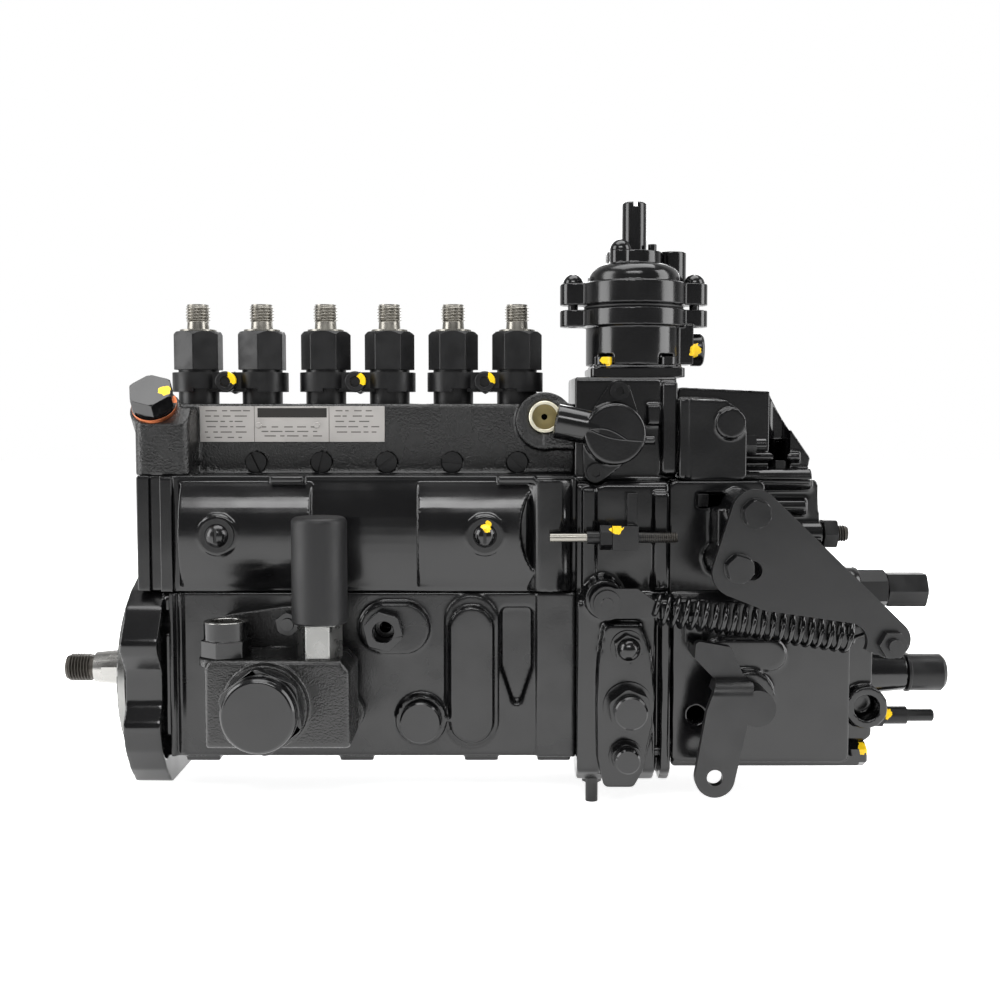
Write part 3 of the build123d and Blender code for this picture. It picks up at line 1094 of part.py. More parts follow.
# ================================================================ governor fittings
def governor_fittings():
    """Plugs, cap and adjusting screws carried by the governor casings."""
    x, z = acorn_spot
    washer = tube((x, plug_plate_y, z), to_front, 7.9, 3.0 + screw_gap, 1.5)
    nut = hex_head((x, plug_plate_y - 1.5, z), to_front, 11.6, 4.0, 8)
    nut += Pos(x, plug_plate_y - 5.0, z) * Sphere(5.4) & block((0, 400),
                                                               (plug_plate_y - 20,
                                                                plug_plate_y - 1.5), (-60, 60))
    nut += rod((x, plug_plate_y - 1.5, z), to_back, 3.0, 12)
    keep("governor_plugs", washer, nut)
    for (x, z), ring, flats, face, thread in (
            (large_plug_spot, 11.6, 18.0, 7.6, 6.0), (small_plug_spot, 7.8, 13.0, 5.8, 5.0)):
        disc = tube((x, plug_plate_y, z), to_front, ring, thread + screw_gap, 1.6)
        depth = ring + 2.4
        body = hexagon((x, plug_plate_y - 1.6, z), to_front, flats, depth - 4.5, 8)
        body &= rod((x, plug_plate_y - 1.6, z), to_front, flats / sqrt(3) - 0.5, depth)
        top = rod((x, plug_plate_y - 1.6, z), to_front, face, depth)
        body += chamfer(top.edges().group_by(Axis.Y)[0], 0.8)
        body += rod((x, plug_plate_y - 1.6, z), to_back, thread, 12)
        keep("governor_plugs", disc, body)
    # round cap with two ears and its pipe stub
    seat = top_block_front_y - 0.2
    hull_edges = (Pos(cap_x, cap_z) * Circle(cap_radius)).edges()
    for x, z in cap_ears:
        hull_edges += (Pos(x, z) * Circle(5.6)).edges()
    cap = along_y(make_hull(hull_edges), cap_flange_y, seat)
    dome = rod((cap_x, cap_flange_y + 1, cap_z), to_front, cap_radius, cap_flange_y + 1 - cap_face_y)
    cap += fillet(dome.edges().group_by(Axis.Y)[0], 1.4)
    cap += rod((cap_x, seat, cap_z), to_back, 10.9, 6)
    cap += rod((cap_x - 8, cap_stub_y, cap_z + 2.2), cap_stub_direction, cap_stub_radius, 20)
    cap -= rod((cap_x - 21, cap_stub_y, cap_z + 4.8), cap_stub_direction, 5.0, 20)
    cap -= rod((cap_x, seat + 7, cap_z), to_front, 8.0, 9)
    for x, z in cap_ears:
        cap -= rod((x, seat + 1, z), to_front, 2.5 + screw_gap, 60)
        cap -= rod((x, cap_flange_y, z), to_front, 4.8, 60)
    cap += rod((cap_x + cap_radius - 1, -39, cap_z - 3), to_rear, 2.2, 6.0)
    keep("rack_cap", cap)
    for x, z in cap_ears:
        screw = rod((x, cap_flange_y, z), to_front, 4.4, 4.4) - hexagon((x, cap_flange_y - 2, z), to_front,
                                                                        4.0, 4)
        screw += rod((x, cap_flange_y, z), to_back, 2.5, 12)
        keep("governor_screws", screw)
    pin = rod((spring_anchor_x, governor_front_y + 4, spring_anchor_z), to_front, 2.9, 23)
    pin += rod((spring_anchor_x, spring_y - 1.7, spring_anchor_z), to_front, 6.2, 1.8)
    pin += rod((spring_anchor_x, spring_y + 1.7, spring_anchor_z), to_back, 5.0, 9.7)
    keep("spring_anchor", pin)
    tongue = rounded([(spring_anchor_x + 2, 36.5), (spring_anchor_x + 12, 36.5), (249.5, 36.8), (248.5, 43.4),
                      (spring_anchor_x + 14, 50), (spring_anchor_x + 2, 50)], 1.5)
    plate = Pos(spring_anchor_x, spring_anchor_z) * Circle(7.6) + tongue
    plate = along_y(plate, spring_y - 1.5, spring_y + 1.5)
    plate -= rod((spring_anchor_x, -90, spring_anchor_z), to_back, 2.9 + seat_gap, 60)
    keep("spring_anchor", plate)
    leg = rod((drain_pin_x, -42, governor_bottom_z + 3.5), down, 3.0, 16)
    leg += hexagon((drain_pin_x, -42, governor_bottom_z), down, 8.0, 3.0)
    keep("governor_plugs", leg)
    # linkage stop along the upper to_front face
    y, z = link_y, link_z
    bracket = block((228.6, 240.5), (upper_front_y - 20, upper_front_y), (z - 5.5, z + 5.5))
    bracket += block((236.5, 241.0), (upper_front_y - 8, upper_front_y), (z - 5.5, z + 20))
    bracket -= rod((220, y, z), to_rear, 3.0 + seat_gap, 30)
    keep("stops", bracket)
    screw = rod((200, y, z), to_rear, 2.0, 17.2) + rod((217, y, z), to_rear, 3.0, 42)
    keep("adjusting_screws", screw)
    nut = hex_head((223.0, y, z), to_rear, 10.0, 5.4) - rod((210, y, z), to_rear, 3.0 + seat_gap, 30)
    keep("adjusting_screws", nut)


def rear_adjusters():
    """Adjusting screws, idle spring capsule and locknuts on the rear face."""
    y, z = nut_pair_spot
    face = 355.0
    screw = rod((face - 14, y, z), to_rear, 5.0, 29)
    screw += rod((face - 18, y, z), to_rear, 9.5, 4.0)
    screw += hex_head((face + 14.2, y, z), to_rear, 16.0, 19.3, 30)
    nut = hex_head((face, y, z), to_rear, 17.0, 13.6, 0) - rod((face - 1, y, z), to_rear, 5.0 + seat_gap, 30)
    keep("adjusting_screws", screw)
    keep("adjusting_screws", nut)
    y, z = capsule_spot
    body = rod((377.0, y, z), to_rear, 9.6, 1.6)
    shell = rod((378.6, y, z), to_rear, 9.15, 17.8)
    body += chamfer(shell.edges().group_by(Axis.X)[-1], 2.0)
    body += rod((377.0, y, z), to_drive, 6.0, 26)
    keep("idle_capsule", body)
    y, z = idle_spot
    screw = rod((346, y, z), to_rear, 3.0, 44)
    screw = chamfer(screw.edges().group_by(Axis.X)[-1], 0.6)
    nut = hex_head((359.0, y, z), to_rear, 10.0, 6.0, 30) - rod((350, y, z), to_rear, 3.0 + seat_gap, 30)
    sleeve = tube((365.6, y, z), to_rear, 4.4, 3.0 + seat_gap, 11.0)
    keep("adjusting_screws", screw, nut, sleeve)
    y, z = speed_stop_spot
    screw = rod((318, y, z), to_rear, 4.0, 29.0)
    screw = chamfer(screw.edges().group_by(Axis.X)[-1], 0.7)
    nut = hex_head((334.8, y, z), to_rear, 13.0, 6.6, 30) - rod((330, y, z), to_rear, 4.0 + seat_gap, 30)
    keep("adjusting_screws", screw, nut)


# ================================================================ levers and return spring
def control_lever():
    """Speed lever with its cross shaft: hub, cranked strap and stop nose."""
    shaft_face = governor_front_y - 7.0
    shaft = rod((lever_shaft_x, governor_back_y - 4, lever_shaft_z), to_front, lever_shaft_radius,
                governor_back_y - 4 - lever_plane_y)
    keep("control_shaft", shaft)
    hub_y = shaft_face - 0.3
    x, z = lever_shaft_x, lever_shaft_z
    lever = rod((x, hub_y, z), to_front, lever_hub_radius, hub_y - lever_plane_y + 2)
    # nose plate with the lug that meets the stop block
    nose = rounded([(x - 26.9, z + 29.4), (x - 11.0, z + 26.6), (x - 5.7, z + 14.5), (x + 1.5, z + 7.0),
                    (x - 1.0, z - 5.0), (x - 12.0, z - 2.0), (x - 17.2, z + 11.0), (x - 27.3, z + 21.5)], 2.0)
    lever += along_y(nose, -80, -74)
    lever += block((x - 26.8, x - 21.8), (-75, governor_front_y - 1.2), (z + 20.6, z + 25.8))
    # strap of flat bar, its top rolled back over the nose plate
    face = lever_plane_y - lever_thickness - 1.5
    roll_y = face + roll_radius
    roll_z = z + 6.1
    bar = block((x - 40, x + 10), (face, face + lever_thickness), (z - 60, roll_z))
    roll = rod((x - 40, roll_y, roll_z), to_rear, roll_radius, 50)
    roll -= rod((x - 40, roll_y, roll_z), to_rear, roll_radius - lever_thickness, 50)
    bar += roll & block((x - 40, x + 10), (face, roll_y), (roll_z, roll_z + roll_radius))
    bar += block((x - 40, x + 10), (roll_y - 0.1, -76), (roll_z + roll_radius - lever_thickness, roll_z
                                                         + roll_radius))
    corners = ((x - 17.6, z + 11.1), (x - 3.8, z + 11.1), (x - 5.5, z - 0.4), (x - 21.8, z - 0.4))
    edges = (Pos(lever_hole_x, lever_hole_z) * Circle(8.9)).edges()
    for corner in corners:
        edges += (Pos(*corner) * Circle(1.5)).edges()
    lever += bar & along_y(make_hull(edges), face - 1, -70)
    lever -= rod((lever_hole_x, lever_plane_y - 20, lever_hole_z), to_back, lever_hole_radius, 40)
    lever -= rod((x, -40, z), to_front, lever_shaft_radius + seat_gap, -lever_plane_y - 40 + 0.1)
    keep("control_lever", lever)


def lever_stop():
    """Block on the side plate above the lug of the lever nose, and its screw."""
    front = governor_front_y
    x, z = lever_shaft_x - 25.7, lever_shaft_z + 32.1
    stop = block((x - 4, x + 4), (front - 6.4, front), (z - 6, z + 6))
    keep("stops", stop - rod((x, front - 10, z), to_back, 2.5 + screw_gap, 20))
    screw = rod((x, front - 6.4, z), to_front, 3.6, 1.6)
    keep("governor_screws", screw + rod((x, front - 6.4, z), to_back, 2.5, 6.2))


def spring_bracket():
    """Triangular plate that swings about its upper bolt to set the return spring."""
    near = bracket_y - bracket_thickness
    outline = make_hull(
        (Pos(bracket_pivot_x, bracket_pivot_z) * Circle(10.5)).edges()
        + (Pos(bracket_slot_x - 0.5, bracket_slot_z - 2) * Circle(11.0)).edges()
        + (Pos(bracket_pin_x, bracket_pin_z + 2) * Circle(8.5)).edges())
    plate = along_y(outline, near, bracket_y)
    plate -= along_y(slot_shape(288.0, 34.7, 331.0, 28.4, coil_relief_radius), near - 1, bracket_y + 1)
    plate -= rod((bracket_pivot_x, near - 1, bracket_pivot_z), to_back, 4.0 + running_fit, 10)
    reach = hypot(bracket_slot_x - bracket_pivot_x, bracket_slot_z - bracket_pivot_z)
    start = atan2(bracket_slot_z - bracket_pivot_z, bracket_slot_x - bracket_pivot_x)
    slot_radius = 4.0 + 0.3
    swing = radians(bracket_swing)
    spots = [(bracket_pivot_x + reach * cos(start + swing * step / 6),
              bracket_pivot_z + reach * sin(start + swing * step / 6)) for step in range(-1, 8)]
    for x, z in spots:
        plate -= rod((x, near - 1, z), to_back, slot_radius, 10)
    for (x_a, z_a), (x_b, z_b) in zip(spots, spots[1:]):
        plate -= along_y(slot_shape(x_a, z_a, x_b, z_b, slot_radius), near - 1, bracket_y + 1)
    plate -= rod((bracket_pin_x, near - 1, bracket_pin_z), to_back, 3.0 + seat_gap, 10)
    keep("spring_bracket", plate)
    pin = rod((bracket_pin_x, bracket_y + 4.5, bracket_pin_z), to_front, 3.0, bracket_y + 4.5 - near + 7)
    pin += hex_head((bracket_pin_x, near, bracket_pin_z), to_front, 11.0, 4.0, 30)
    pin += tube((bracket_pin_x, bracket_y + 4.4, bracket_pin_z), to_front, 5.0, 2.9, 4.4)
    keep("spring_bracket", pin)
    for x, z in ((bracket_pivot_x, bracket_pivot_z), (bracket_slot_x, bracket_slot_z)):
        washer = tube((x, near - 0.06, z), to_front, 6.8, 4.0 + screw_gap, 1.2)
        bolt = hex_head((x, near - 1.26, z), to_front, 11.0, 4.2, 12) + rod((x, near - 1.26, z), to_back,
                                                                            4.0, 26)
        keep("governor_screws", washer, bolt)


def return_spring():
    """Tension spring between the anchor pin and the pin of the bracket."""
    y = spring_y
    left = (244.5, 41.0)
    right = (337.0, 27.5)
    length = hypot(right[0] - left[0], right[1] - left[1])
    direction = ((right[0] - left[0]) / length, 0, (right[1] - left[1]) / length)
    place = Plane(origin=(left[0], y, left[1]), z_dir=direction)
    keep("return_spring", place * coil(spring_coil_radius, spring_wire_radius, 0, length, spring_turns))


# ================================================================ boost compensator
def boost_compensator():
    adapter = along_z(Pos(boost_x, 0) * RectangleRounded(46, 48, 3.0), boost_base_z, boost_base_z + 4.6)
    adapter += along_z(Pos(boost_x, 0) * RectangleRounded(43, 45, 3.0), boost_base_z + 4.5, boost_body_z)
    adapter -= rod((boost_x, 0, 100), up, 12.0, 90)
    for x, y in boost_screw_spots:
        adapter -= rod((x, y, 100), up, 2.5 + screw_gap, 90)
    keep("boost_adapter", adapter)
    for x, y in boost_screw_spots:
        screw = rod((x, y, boost_body_z), up, 4.2, 3.6) - hexagon((x, y, boost_body_z + 1.6), up, 4.0, 4)
        keep("boost_screws", screw + rod((x, y, boost_body_z), down, 2.5, 15))
    # lower case: round body, clamping flange with two ears, side boss
    case = rod((boost_x, 0, boost_body_z), up, boost_radius, boost_split_z - 0.4 - boost_body_z)
    for x, y in boost_screw_spots:
        case -= rod((x, y, boost_body_z - 1), up, 5.0, 6.0)
    ears = make_hull((Pos(boost_x - boost_ear_spacing, 0) * Circle(boost_ear_radius)).edges()
                     + (Pos(boost_x + boost_ear_spacing, 0) * Circle(boost_ear_radius)).edges()
                     + (Pos(boost_x, 0) * Circle(10)).edges())
    disc = Pos(boost_x, 0) * Circle(boost_radius + 2.4)
    case += along_z(ears + disc, boost_flange_z, boost_split_z - 1.2)
    case += rod((boost_x, 0, boost_split_z - 3), up, boost_radius + 1.0, 2.6)
    case += block((boost_x + 18, boost_x + 29), (-9, 9), (boost_body_z + 0.5, boost_flange_z + 1))
    case -= rod((boost_x, 0, boost_body_z + 5), up, boost_radius - 4.0, 40)
    case -= rod((boost_x, 0, 100), up, 6.0, 90)
    case -= rod((boost_x + 15, 0, boost_plug_z), to_rear, 4.0, 30)
    for side in (-1, 1):
        case -= rod((boost_x + side * boost_ear_spacing, 0, 150), up, 2.5 + seat_gap, 60)
    keep("boost_lower_case", case)
    plug = rod((boost_x + 29.0, 0, boost_plug_z), to_rear, 8.2, 6.0)
    plug = fillet(plug.edges().group_by(Axis.X)[-1], 2.0)
    plug += rod((boost_x + 29.0, 0, boost_plug_z), to_drive, 4.0 - seat_gap, 10)
    keep("boost_screws", plug)
    keep("boost_diaphragm", rod((boost_x, 0, boost_split_z - 0.4), up, boost_radius + 1.0, 0.8)
         - rod((boost_x, 0, 150), up, 3.0 + seat_gap, 60))
    # upper cover: flange with ears, dome, neck and hose boss
    hose = (boost_x + 20.0, 9.0)
    cover_lock = (boost_x - 7.6, -9.8)
    cover = along_z(ears + disc, boost_split_z + 1.2, boost_flange_top_z)
    cover += rod((boost_x, 0, boost_split_z + 0.4), up, boost_radius + 1.0, 2.0)
    dome = rod((boost_x, 0, boost_flange_top_z - 1), up, boost_radius - 0.8,
               boost_dome_z - boost_flange_top_z + 1)
    cover += fillet(dome.edges().group_by(Axis.Z)[-1], 7.0)
    cover += rod((boost_x, 0, boost_dome_z - 1), up, boost_neck_radius, boost_neck_z - boost_dome_z + 1)
    cover += rod((*cover_lock, boost_dome_z - 1), up, 5.4, boost_neck_z - boost_dome_z + 1)
    cover += rod((hose[0], hose[1], boost_split_z + 1.2), up, 7.3, boost_port_top_z - boost_split_z - 1.2)
    cover -= rod((boost_x, 0, 150), up, boost_radius - 3.8, boost_dome_z - 4.5 - 150)
    cover -= rod((boost_x, 0, 190), up, 6.2 + seat_gap, 50)
    cover -= rod((hose[0], hose[1], boost_port_top_z), down, boost_port_radius, boost_port_depth)
    cover -= rod((hose[0] - 2.8, hose[1] - 1.2, boost_port_top_z), down, 1.5, boost_port_depth + 8)
    for side in (-1, 1):
        cover -= rod((boost_x + side * boost_ear_spacing, 0, 150), up, 2.5 + screw_gap, 60)
    cover -= rod((cover_lock[0], cover_lock[1], boost_neck_z - 5), up, 2.0 + seat_gap, 10)
    keep("boost_cover", cover)
    for side in (-1, 1):
        screw = domed_screw((boost_x + side * boost_ear_spacing, 0, boost_flange_top_z), up, 2.5, 21, 5.2,
                            5.0)
        screw -= Pos(boost_x + side * boost_ear_spacing, 0, boost_flange_top_z + 5.4) * Box(1.4, 14, 2.6)
        keep("boost_screws", screw)
    stem = rod((boost_x, 0, boost_dome_z - 4), up, 6.2, boost_stem_z - boost_dome_z + 4)
    stem = fillet(stem.edges().group_by(Axis.Z)[-1], 1.2)
    stem -= Pos(boost_x, 0, boost_stem_z) * Box(2.0, 20, 5.0)
    keep("boost_adjuster", stem)
    lock = domed_screw((*cover_lock, boost_neck_z), up, 2.0, 4.0, 5.4, 5.4)
    keep("boost_screws", lock)
    keep("boost_screws", rod((boost_x + 8.6, -5, boost_neck_z), up, 2.1, 3.4))
    pushrod = rod((boost_x, 0, 118), up, 3.0, boost_split_z + 8 - 118)
    pushrod += rod((boost_x, 0, boost_split_z - 2.0), up, 11.0, 1.5)
    keep("boost_diaphragm", pushrod)
    plate = tube((boost_x, 0, boost_split_z + 0.4), up, 12.0, 3.0 + seat_gap, 1.6)
    keep("boost_diaphragm", plate)
    keep("boost_diaphragm", Pos(boost_x, 0, 0) * coil(8.6, 1.1, boost_body_z + 5.0, boost_split_z - 2.05,
                                                      3.5))



# ================================================================ inside the governor
def governor_inside():
    """Flyweights on the camshaft, sliding sleeve, tension lever and spring."""
    hub_x = housing_end_x + 5.6
    carrier = tube((hub_x, 0, 0), to_rear, 15.0, 8.5 + seat_gap, 20)
    carrier += tube((hub_x, 0, 0), to_rear, 30.0, 8.5 + seat_gap, 4)
    carrier += block((hub_x, hub_x + 18), (-6, 6), (20, 28))
    carrier += block((hub_x, hub_x + 18), (-6, 6), (-28, -20))
    for side in (-1, 1):
        carrier -= rod((hub_x + 13, -20, side * 24), to_back, 2.0 + seat_gap, 40)
    keep("flyweights", carrier)
    for side in (-1, 1):
        arc = Circle(35) - Circle(19)
        arc &= Pos(0, side * 30) * Rectangle(44, 40)
        weight = along_x(arc, hub_x + 4.3, hub_x + 24)
        weight -= block((hub_x, hub_x + 18.4), (-6.3, 6.3), (min(side * 10, side * 50),
                                                             max(side * 10, side * 50)))
        weight -= rod((hub_x + 13, -30, side * 24), to_back, 2.0 + seat_gap, 60)
        keep("flyweights", weight, rod((hub_x + 13, -14, side * 24), to_back, 2.0, 28))
    nut = hexagon((hub_x + 20.1, 0, 0), to_rear, 19.0, 6) - rod((hub_x, 0, 0), to_rear, 8.5 + seat_gap, 40)
    keep("flyweights", nut)
    sleeve_x = hub_x + 30.5
    sleeve = rod((sleeve_x, 0, 0), to_rear, 12.0, 5) + rod((sleeve_x, 0, 0), to_rear, 6.2, 16)
    keep("governor_sleeve", sleeve)
    lever_x = sleeve_x + 16.1
    lever = along_x(rounded([(-9, -12), (9, -12), (9, 68), (-9, 68), (-24, 50), (-24, 34), (-9, 24)], 2.5),
                    lever_x, lever_x + 6)
    lever -= rod((lever_x + 3, -40, 62), to_back, 2.0 + seat_gap, 80)
    keep("tension_lever", lever, rod((lever_x + 3, -33.95, 62), to_back, 2.0, 67.9))
    spring_start = lever_x + 6.05
    spring_end = 355.0 - 18.05
    place = Plane(origin=(spring_start, nut_pair_spot[0], nut_pair_spot[1]), z_dir=to_rear)
    keep("governor_spring", place * coil(7.6, 1.4, 0, spring_end - spring_start, 8))


pump_housing()
drive_flange()
camshaft()
bearings()
roller_tappets()
elements()
control_rack()
delivery_valve_holders()
holder_clamps()
side_cover()
front_fittings()
feed_pump()
priming_pump()
governor_housing()
governor_cover()
governor_top_cover()
governor_fittings()
rear_adjusters()
control_lever()
lever_stop()
spring_bracket()
return_spring()
boost_compensator()
governor_inside()

os.makedirs("parts", exist_ok=True)
for name, pieces in nodes.items():
    solids = [solid for piece in pieces for solid in piece.solids()]
    export_step(Compound(label=name, children=solids), f"parts/{name}.step")
print(len(nodes), "nodes,", sum(len(p) for p in nodes.values()), "pieces")
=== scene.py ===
import bmesh
import bpy
import json
import numpy as np
from math import radians, tau
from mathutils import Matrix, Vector


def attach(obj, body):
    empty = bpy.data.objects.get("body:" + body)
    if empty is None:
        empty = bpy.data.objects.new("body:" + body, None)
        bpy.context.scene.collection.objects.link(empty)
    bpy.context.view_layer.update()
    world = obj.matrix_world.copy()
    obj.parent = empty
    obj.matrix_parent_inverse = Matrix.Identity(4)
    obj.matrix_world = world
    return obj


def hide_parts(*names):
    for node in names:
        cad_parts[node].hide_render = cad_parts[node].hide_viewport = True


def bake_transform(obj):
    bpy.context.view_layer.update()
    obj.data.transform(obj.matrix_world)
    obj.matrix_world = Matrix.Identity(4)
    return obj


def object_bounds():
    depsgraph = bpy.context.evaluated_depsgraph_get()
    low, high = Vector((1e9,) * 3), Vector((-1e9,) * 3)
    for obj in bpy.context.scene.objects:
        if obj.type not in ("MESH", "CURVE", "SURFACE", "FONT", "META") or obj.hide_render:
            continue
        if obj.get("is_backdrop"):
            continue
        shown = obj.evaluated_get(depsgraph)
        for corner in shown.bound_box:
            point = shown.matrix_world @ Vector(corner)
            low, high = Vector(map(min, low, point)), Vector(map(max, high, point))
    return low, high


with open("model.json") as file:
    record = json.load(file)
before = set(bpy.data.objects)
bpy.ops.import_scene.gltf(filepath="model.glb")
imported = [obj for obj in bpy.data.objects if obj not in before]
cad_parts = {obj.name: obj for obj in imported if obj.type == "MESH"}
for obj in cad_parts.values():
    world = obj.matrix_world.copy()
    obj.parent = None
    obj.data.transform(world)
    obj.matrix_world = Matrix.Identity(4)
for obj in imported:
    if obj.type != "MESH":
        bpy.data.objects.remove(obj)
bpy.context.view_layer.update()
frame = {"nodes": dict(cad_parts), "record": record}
nodes = frame["nodes"]
bodyOf = {}
for body, members in frame["record"]["behaviour"]["bodies"].items():
    bodyOf.update(dict.fromkeys(members, body))
mm = 0.001
up = np.array([0.0, 0.0, 1.0])
print("frame loaded:", len(nodes), "nodes")


# colours and shader trees

def linear(hexText):
    # sRGB hex to linear: each channel over 12.92 in the dark part, else the 2.4 power curve
    rgb = np.array([int(hexText[i:i + 2], 16) / 255 for i in (1, 3, 5)])
    low = rgb / 12.92
    high = ((rgb + 0.055) / 1.055) ** 2.4
    return (*np.where(rgb <= 0.04045, low, high), 1.0)


def perMetre(size):
    # how often a pattern of this size in millimetres repeats in a metre
    return 1 / mm / size


def addNode(tree, kind, settings=None):
    # each key is an input or a property of the node, and a value that is a socket is linked in
    made = tree.nodes.new(kind)
    for key, value in (settings or {}).items():
        if isinstance(value, bpy.types.NodeSocket):
            tree.links.new(value, made.inputs[key])
        elif isinstance(key, str) and key not in made.inputs:
            setattr(made, key, value)
        else:
            made.inputs[key].default_value = value
    return made


def emptyMaterial(name):
    material = bpy.data.materials.new(name)
    material.use_nodes = True
    material.node_tree.nodes.clear()
    return material, material.node_tree


# meshes

def meshObject(name, points, faces):
    mesh = bpy.data.meshes.new(name)
    mesh.from_pydata(np.array(points, float).tolist(), [], faces)
    mesh.validate()
    made = bpy.data.objects.new(name, mesh)
    bpy.context.scene.collection.objects.link(made)
    return made


def smoothShade(target, angle):
    target.data.polygons.foreach_set("use_smooth", [True] * len(target.data.polygons))
    target.data.set_sharp_from_angle(angle=radians(angle))


def setMaterial(target, material):
    target.data.materials.clear()
    target.data.materials.append(material)
    target.data.polygons.foreach_set("material_index", [0] * len(target.data.polygons))


def applyModifiers(target):
    graph = bpy.context.evaluated_depsgraph_get()
    graph.update()
    done = bpy.data.meshes.new_from_object(target.evaluated_get(graph))
    target.modifiers.clear()
    old = target.data
    target.data = done
    bpy.data.meshes.remove(old)


# a CAD mesh is loose triangles: corners this near (mm) are one, and faces this level (degrees) are one
welding = {"reach": 0.004, "level": 0.8}


def mergedCopy(node, pieceName, dissolve=True):
    # a welded copy of a CAD node; dissolving turns each flat face into a single one
    mesh = nodes[node].data.copy()
    work = bmesh.new()
    work.from_mesh(mesh)
    bmesh.ops.remove_doubles(work, verts=work.verts, dist=welding["reach"] * mm)
    if dissolve:
        bmesh.ops.dissolve_limit(work, angle_limit=radians(welding["level"]), verts=work.verts,
                                 edges=work.edges)
    work.to_mesh(mesh)
    work.free()
    if "custom_normal" in mesh.attributes:
        mesh.attributes.remove(mesh.attributes["custom_normal"])
    made = bpy.data.objects.new(pieceName, mesh)
    bpy.context.scene.collection.objects.link(made)
    return made


def fromAxis(points, zone):
    # height along the zone's axis and distance from it, in millimetres
    axis = np.array(zone["along"], float)
    axis /= np.linalg.norm(axis)
    away = points / mm - np.array(zone["from"], float)
    height = away @ axis
    return height, np.linalg.norm(away - height[:, None] * axis, axis=1)


def inZone(points, zone):
    height, reach = fromAxis(points, zone)
    near, far = zone.get("reach", (0, np.inf))
    return (height >= zone["start"]) & (height <= zone["end"]) & (reach >= near) & (reach <= far)


def dressZones(target, zones):
    # faces whose centre lies in a zone take that zone's finish
    centres = np.empty(3 * len(target.data.polygons))
    target.data.polygons.foreach_get("center", centres)
    centres = centres.reshape(-1, 3)
    slots = np.zeros(len(centres), int)
    names = []
    for zone in zones:
        if zone["finish"] not in names:
            names.append(zone["finish"])
            target.data.materials.append(finishes[zone["finish"]])
        slots[inZone(centres, zone)] = names.index(zone["finish"]) + 1
    target.data.polygons.foreach_set("material_index", slots)


def shrinkZone(target, zone, radius):
    # draws the rim of a rod in to a radius, so that a thread can be laid over it:
    # a point further out keeps its height and gets the share radius / distance of its way out
    points = np.empty(3 * len(target.data.vertices))
    target.data.vertices.foreach_get("co", points)
    points = points.reshape(-1, 3)
    height, reach = fromAxis(points, zone)
    axis = np.array(zone["along"], float)
    base = (np.array(zone["from"], float) + height[:, None] * axis) * mm
    scale = np.ones(len(points))
    chosen = inZone(points, zone) & (reach > radius)
    scale[chosen] = radius / reach[chosen]
    target.data.vertices.foreach_set("co", (base + (points - base) * scale[:, None]).ravel())
    target.data.update()


def crossFrame(along):
    # two unit vectors square to a direction and to each other
    along = np.array(along, float) / np.linalg.norm(along)
    helper = up if abs(along[2]) < 0.9 else np.array([1.0, 0.0, 0.0])
    first = np.cross(helper, along)
    first /= np.linalg.norm(first)
    return first, np.cross(along, first)


def circle(first, second, sides, turn=0.0):
    # points of a unit circle: cos of each angle times one vector plus sin times the other
    angles = np.linspace(0, tau, sides, endpoint=False)[:, None] + turn
    return np.cos(angles) * first + np.sin(angles) * second


def ringMesh(name, rings, finish, hollow=False):
    # closed skin through rings of points: flat caps at the ends, or the last ring joined to the first
    count, sides = rings.shape[:2]
    turn = np.arange(sides)
    faces = []
    for row in range(count if hollow else count - 1):
        here, there = row * sides + turn, (row + 1) % count * sides + turn
        faces += np.stack([here, np.roll(here, -1), np.roll(there, -1), there], axis=1).tolist()
    if not hollow:
        faces += [turn[::-1].tolist(), ((count - 1) * sides + turn).tolist()]
    made = meshObject(name, rings.reshape(-1, 3) * mm, faces)
    smoothShade(made, 40)
    setMaterial(made, finishes[finish])
    return made


def sweepTube(name, path, radius, finish, sides):
    # round wire along a path in millimetres; each ring is carried on from the one before it
    steps = np.gradient(path, axis=0)
    steps /= np.linalg.norm(steps, axis=1)[:, None]
    first = crossFrame(steps[0])[0]
    rings = []
    for point, step in zip(path, steps):
        first = first - step * (first @ step)
        first /= np.linalg.norm(first)
        rings.append(point + radius * circle(first, np.cross(step, first), sides))
    return ringMesh(name, np.array(rings), finish)


# form of every thread: rings of points for each turn, points for each ring, the shares of the wave
# (0 at the root, 1 at the crest) where the root ends and that the flank takes, the share of the pitch
# over which the thread fades out, and how far below the root its inside lies
threadForm = {"rings": 10, "sides": 40, "rootEnd": 0.12, "flank": 0.7, "fade": 0.5, "inside": 0.3}


def threadSkin(name, thread, form):
    # radius = root plus the depth times a flat-topped triangle wave of (height / pitch - turn),
    # faded at both ends
    turns = thread["length"] / thread["pitch"]
    heights = np.linspace(0, thread["length"], int(turns * form["rings"]) + 1)
    around = np.arange(form["sides"]) / form["sides"]
    phase = (heights[:, None] / thread["pitch"] - around) % 1.0
    wave = np.clip((1 - np.abs(2 * phase - 1) - form["rootEnd"]) / form["flank"], 0, 1)
    toEnd = np.minimum(heights, thread["length"] - heights)
    fade = np.clip(toEnd / (form["fade"] * thread["pitch"]), 0, 1)
    radius = thread["root"] + (thread["crest"] - thread["root"]) * wave * fade[:, None]
    # a ring at each end lies just inside the rod, so that a bore in it stays open
    inside = np.full((1, form["sides"]), thread["root"] - form["inside"])
    radius = np.concatenate([inside, radius, inside])
    heights = np.concatenate([heights[:1], heights, heights[-1:]])
    base = np.array(thread["from"], float) + heights[:, None] * np.array(thread["along"], float)
    rings = base[:, None] + radius[:, :, None] * circle(*crossFrame(thread["along"]), form["sides"])
    return ringMesh(name, rings, thread["finish"], hollow=True)


def placePiece(target, body="casing", node=None):
    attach(target, body)
    if node:
        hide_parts(node)


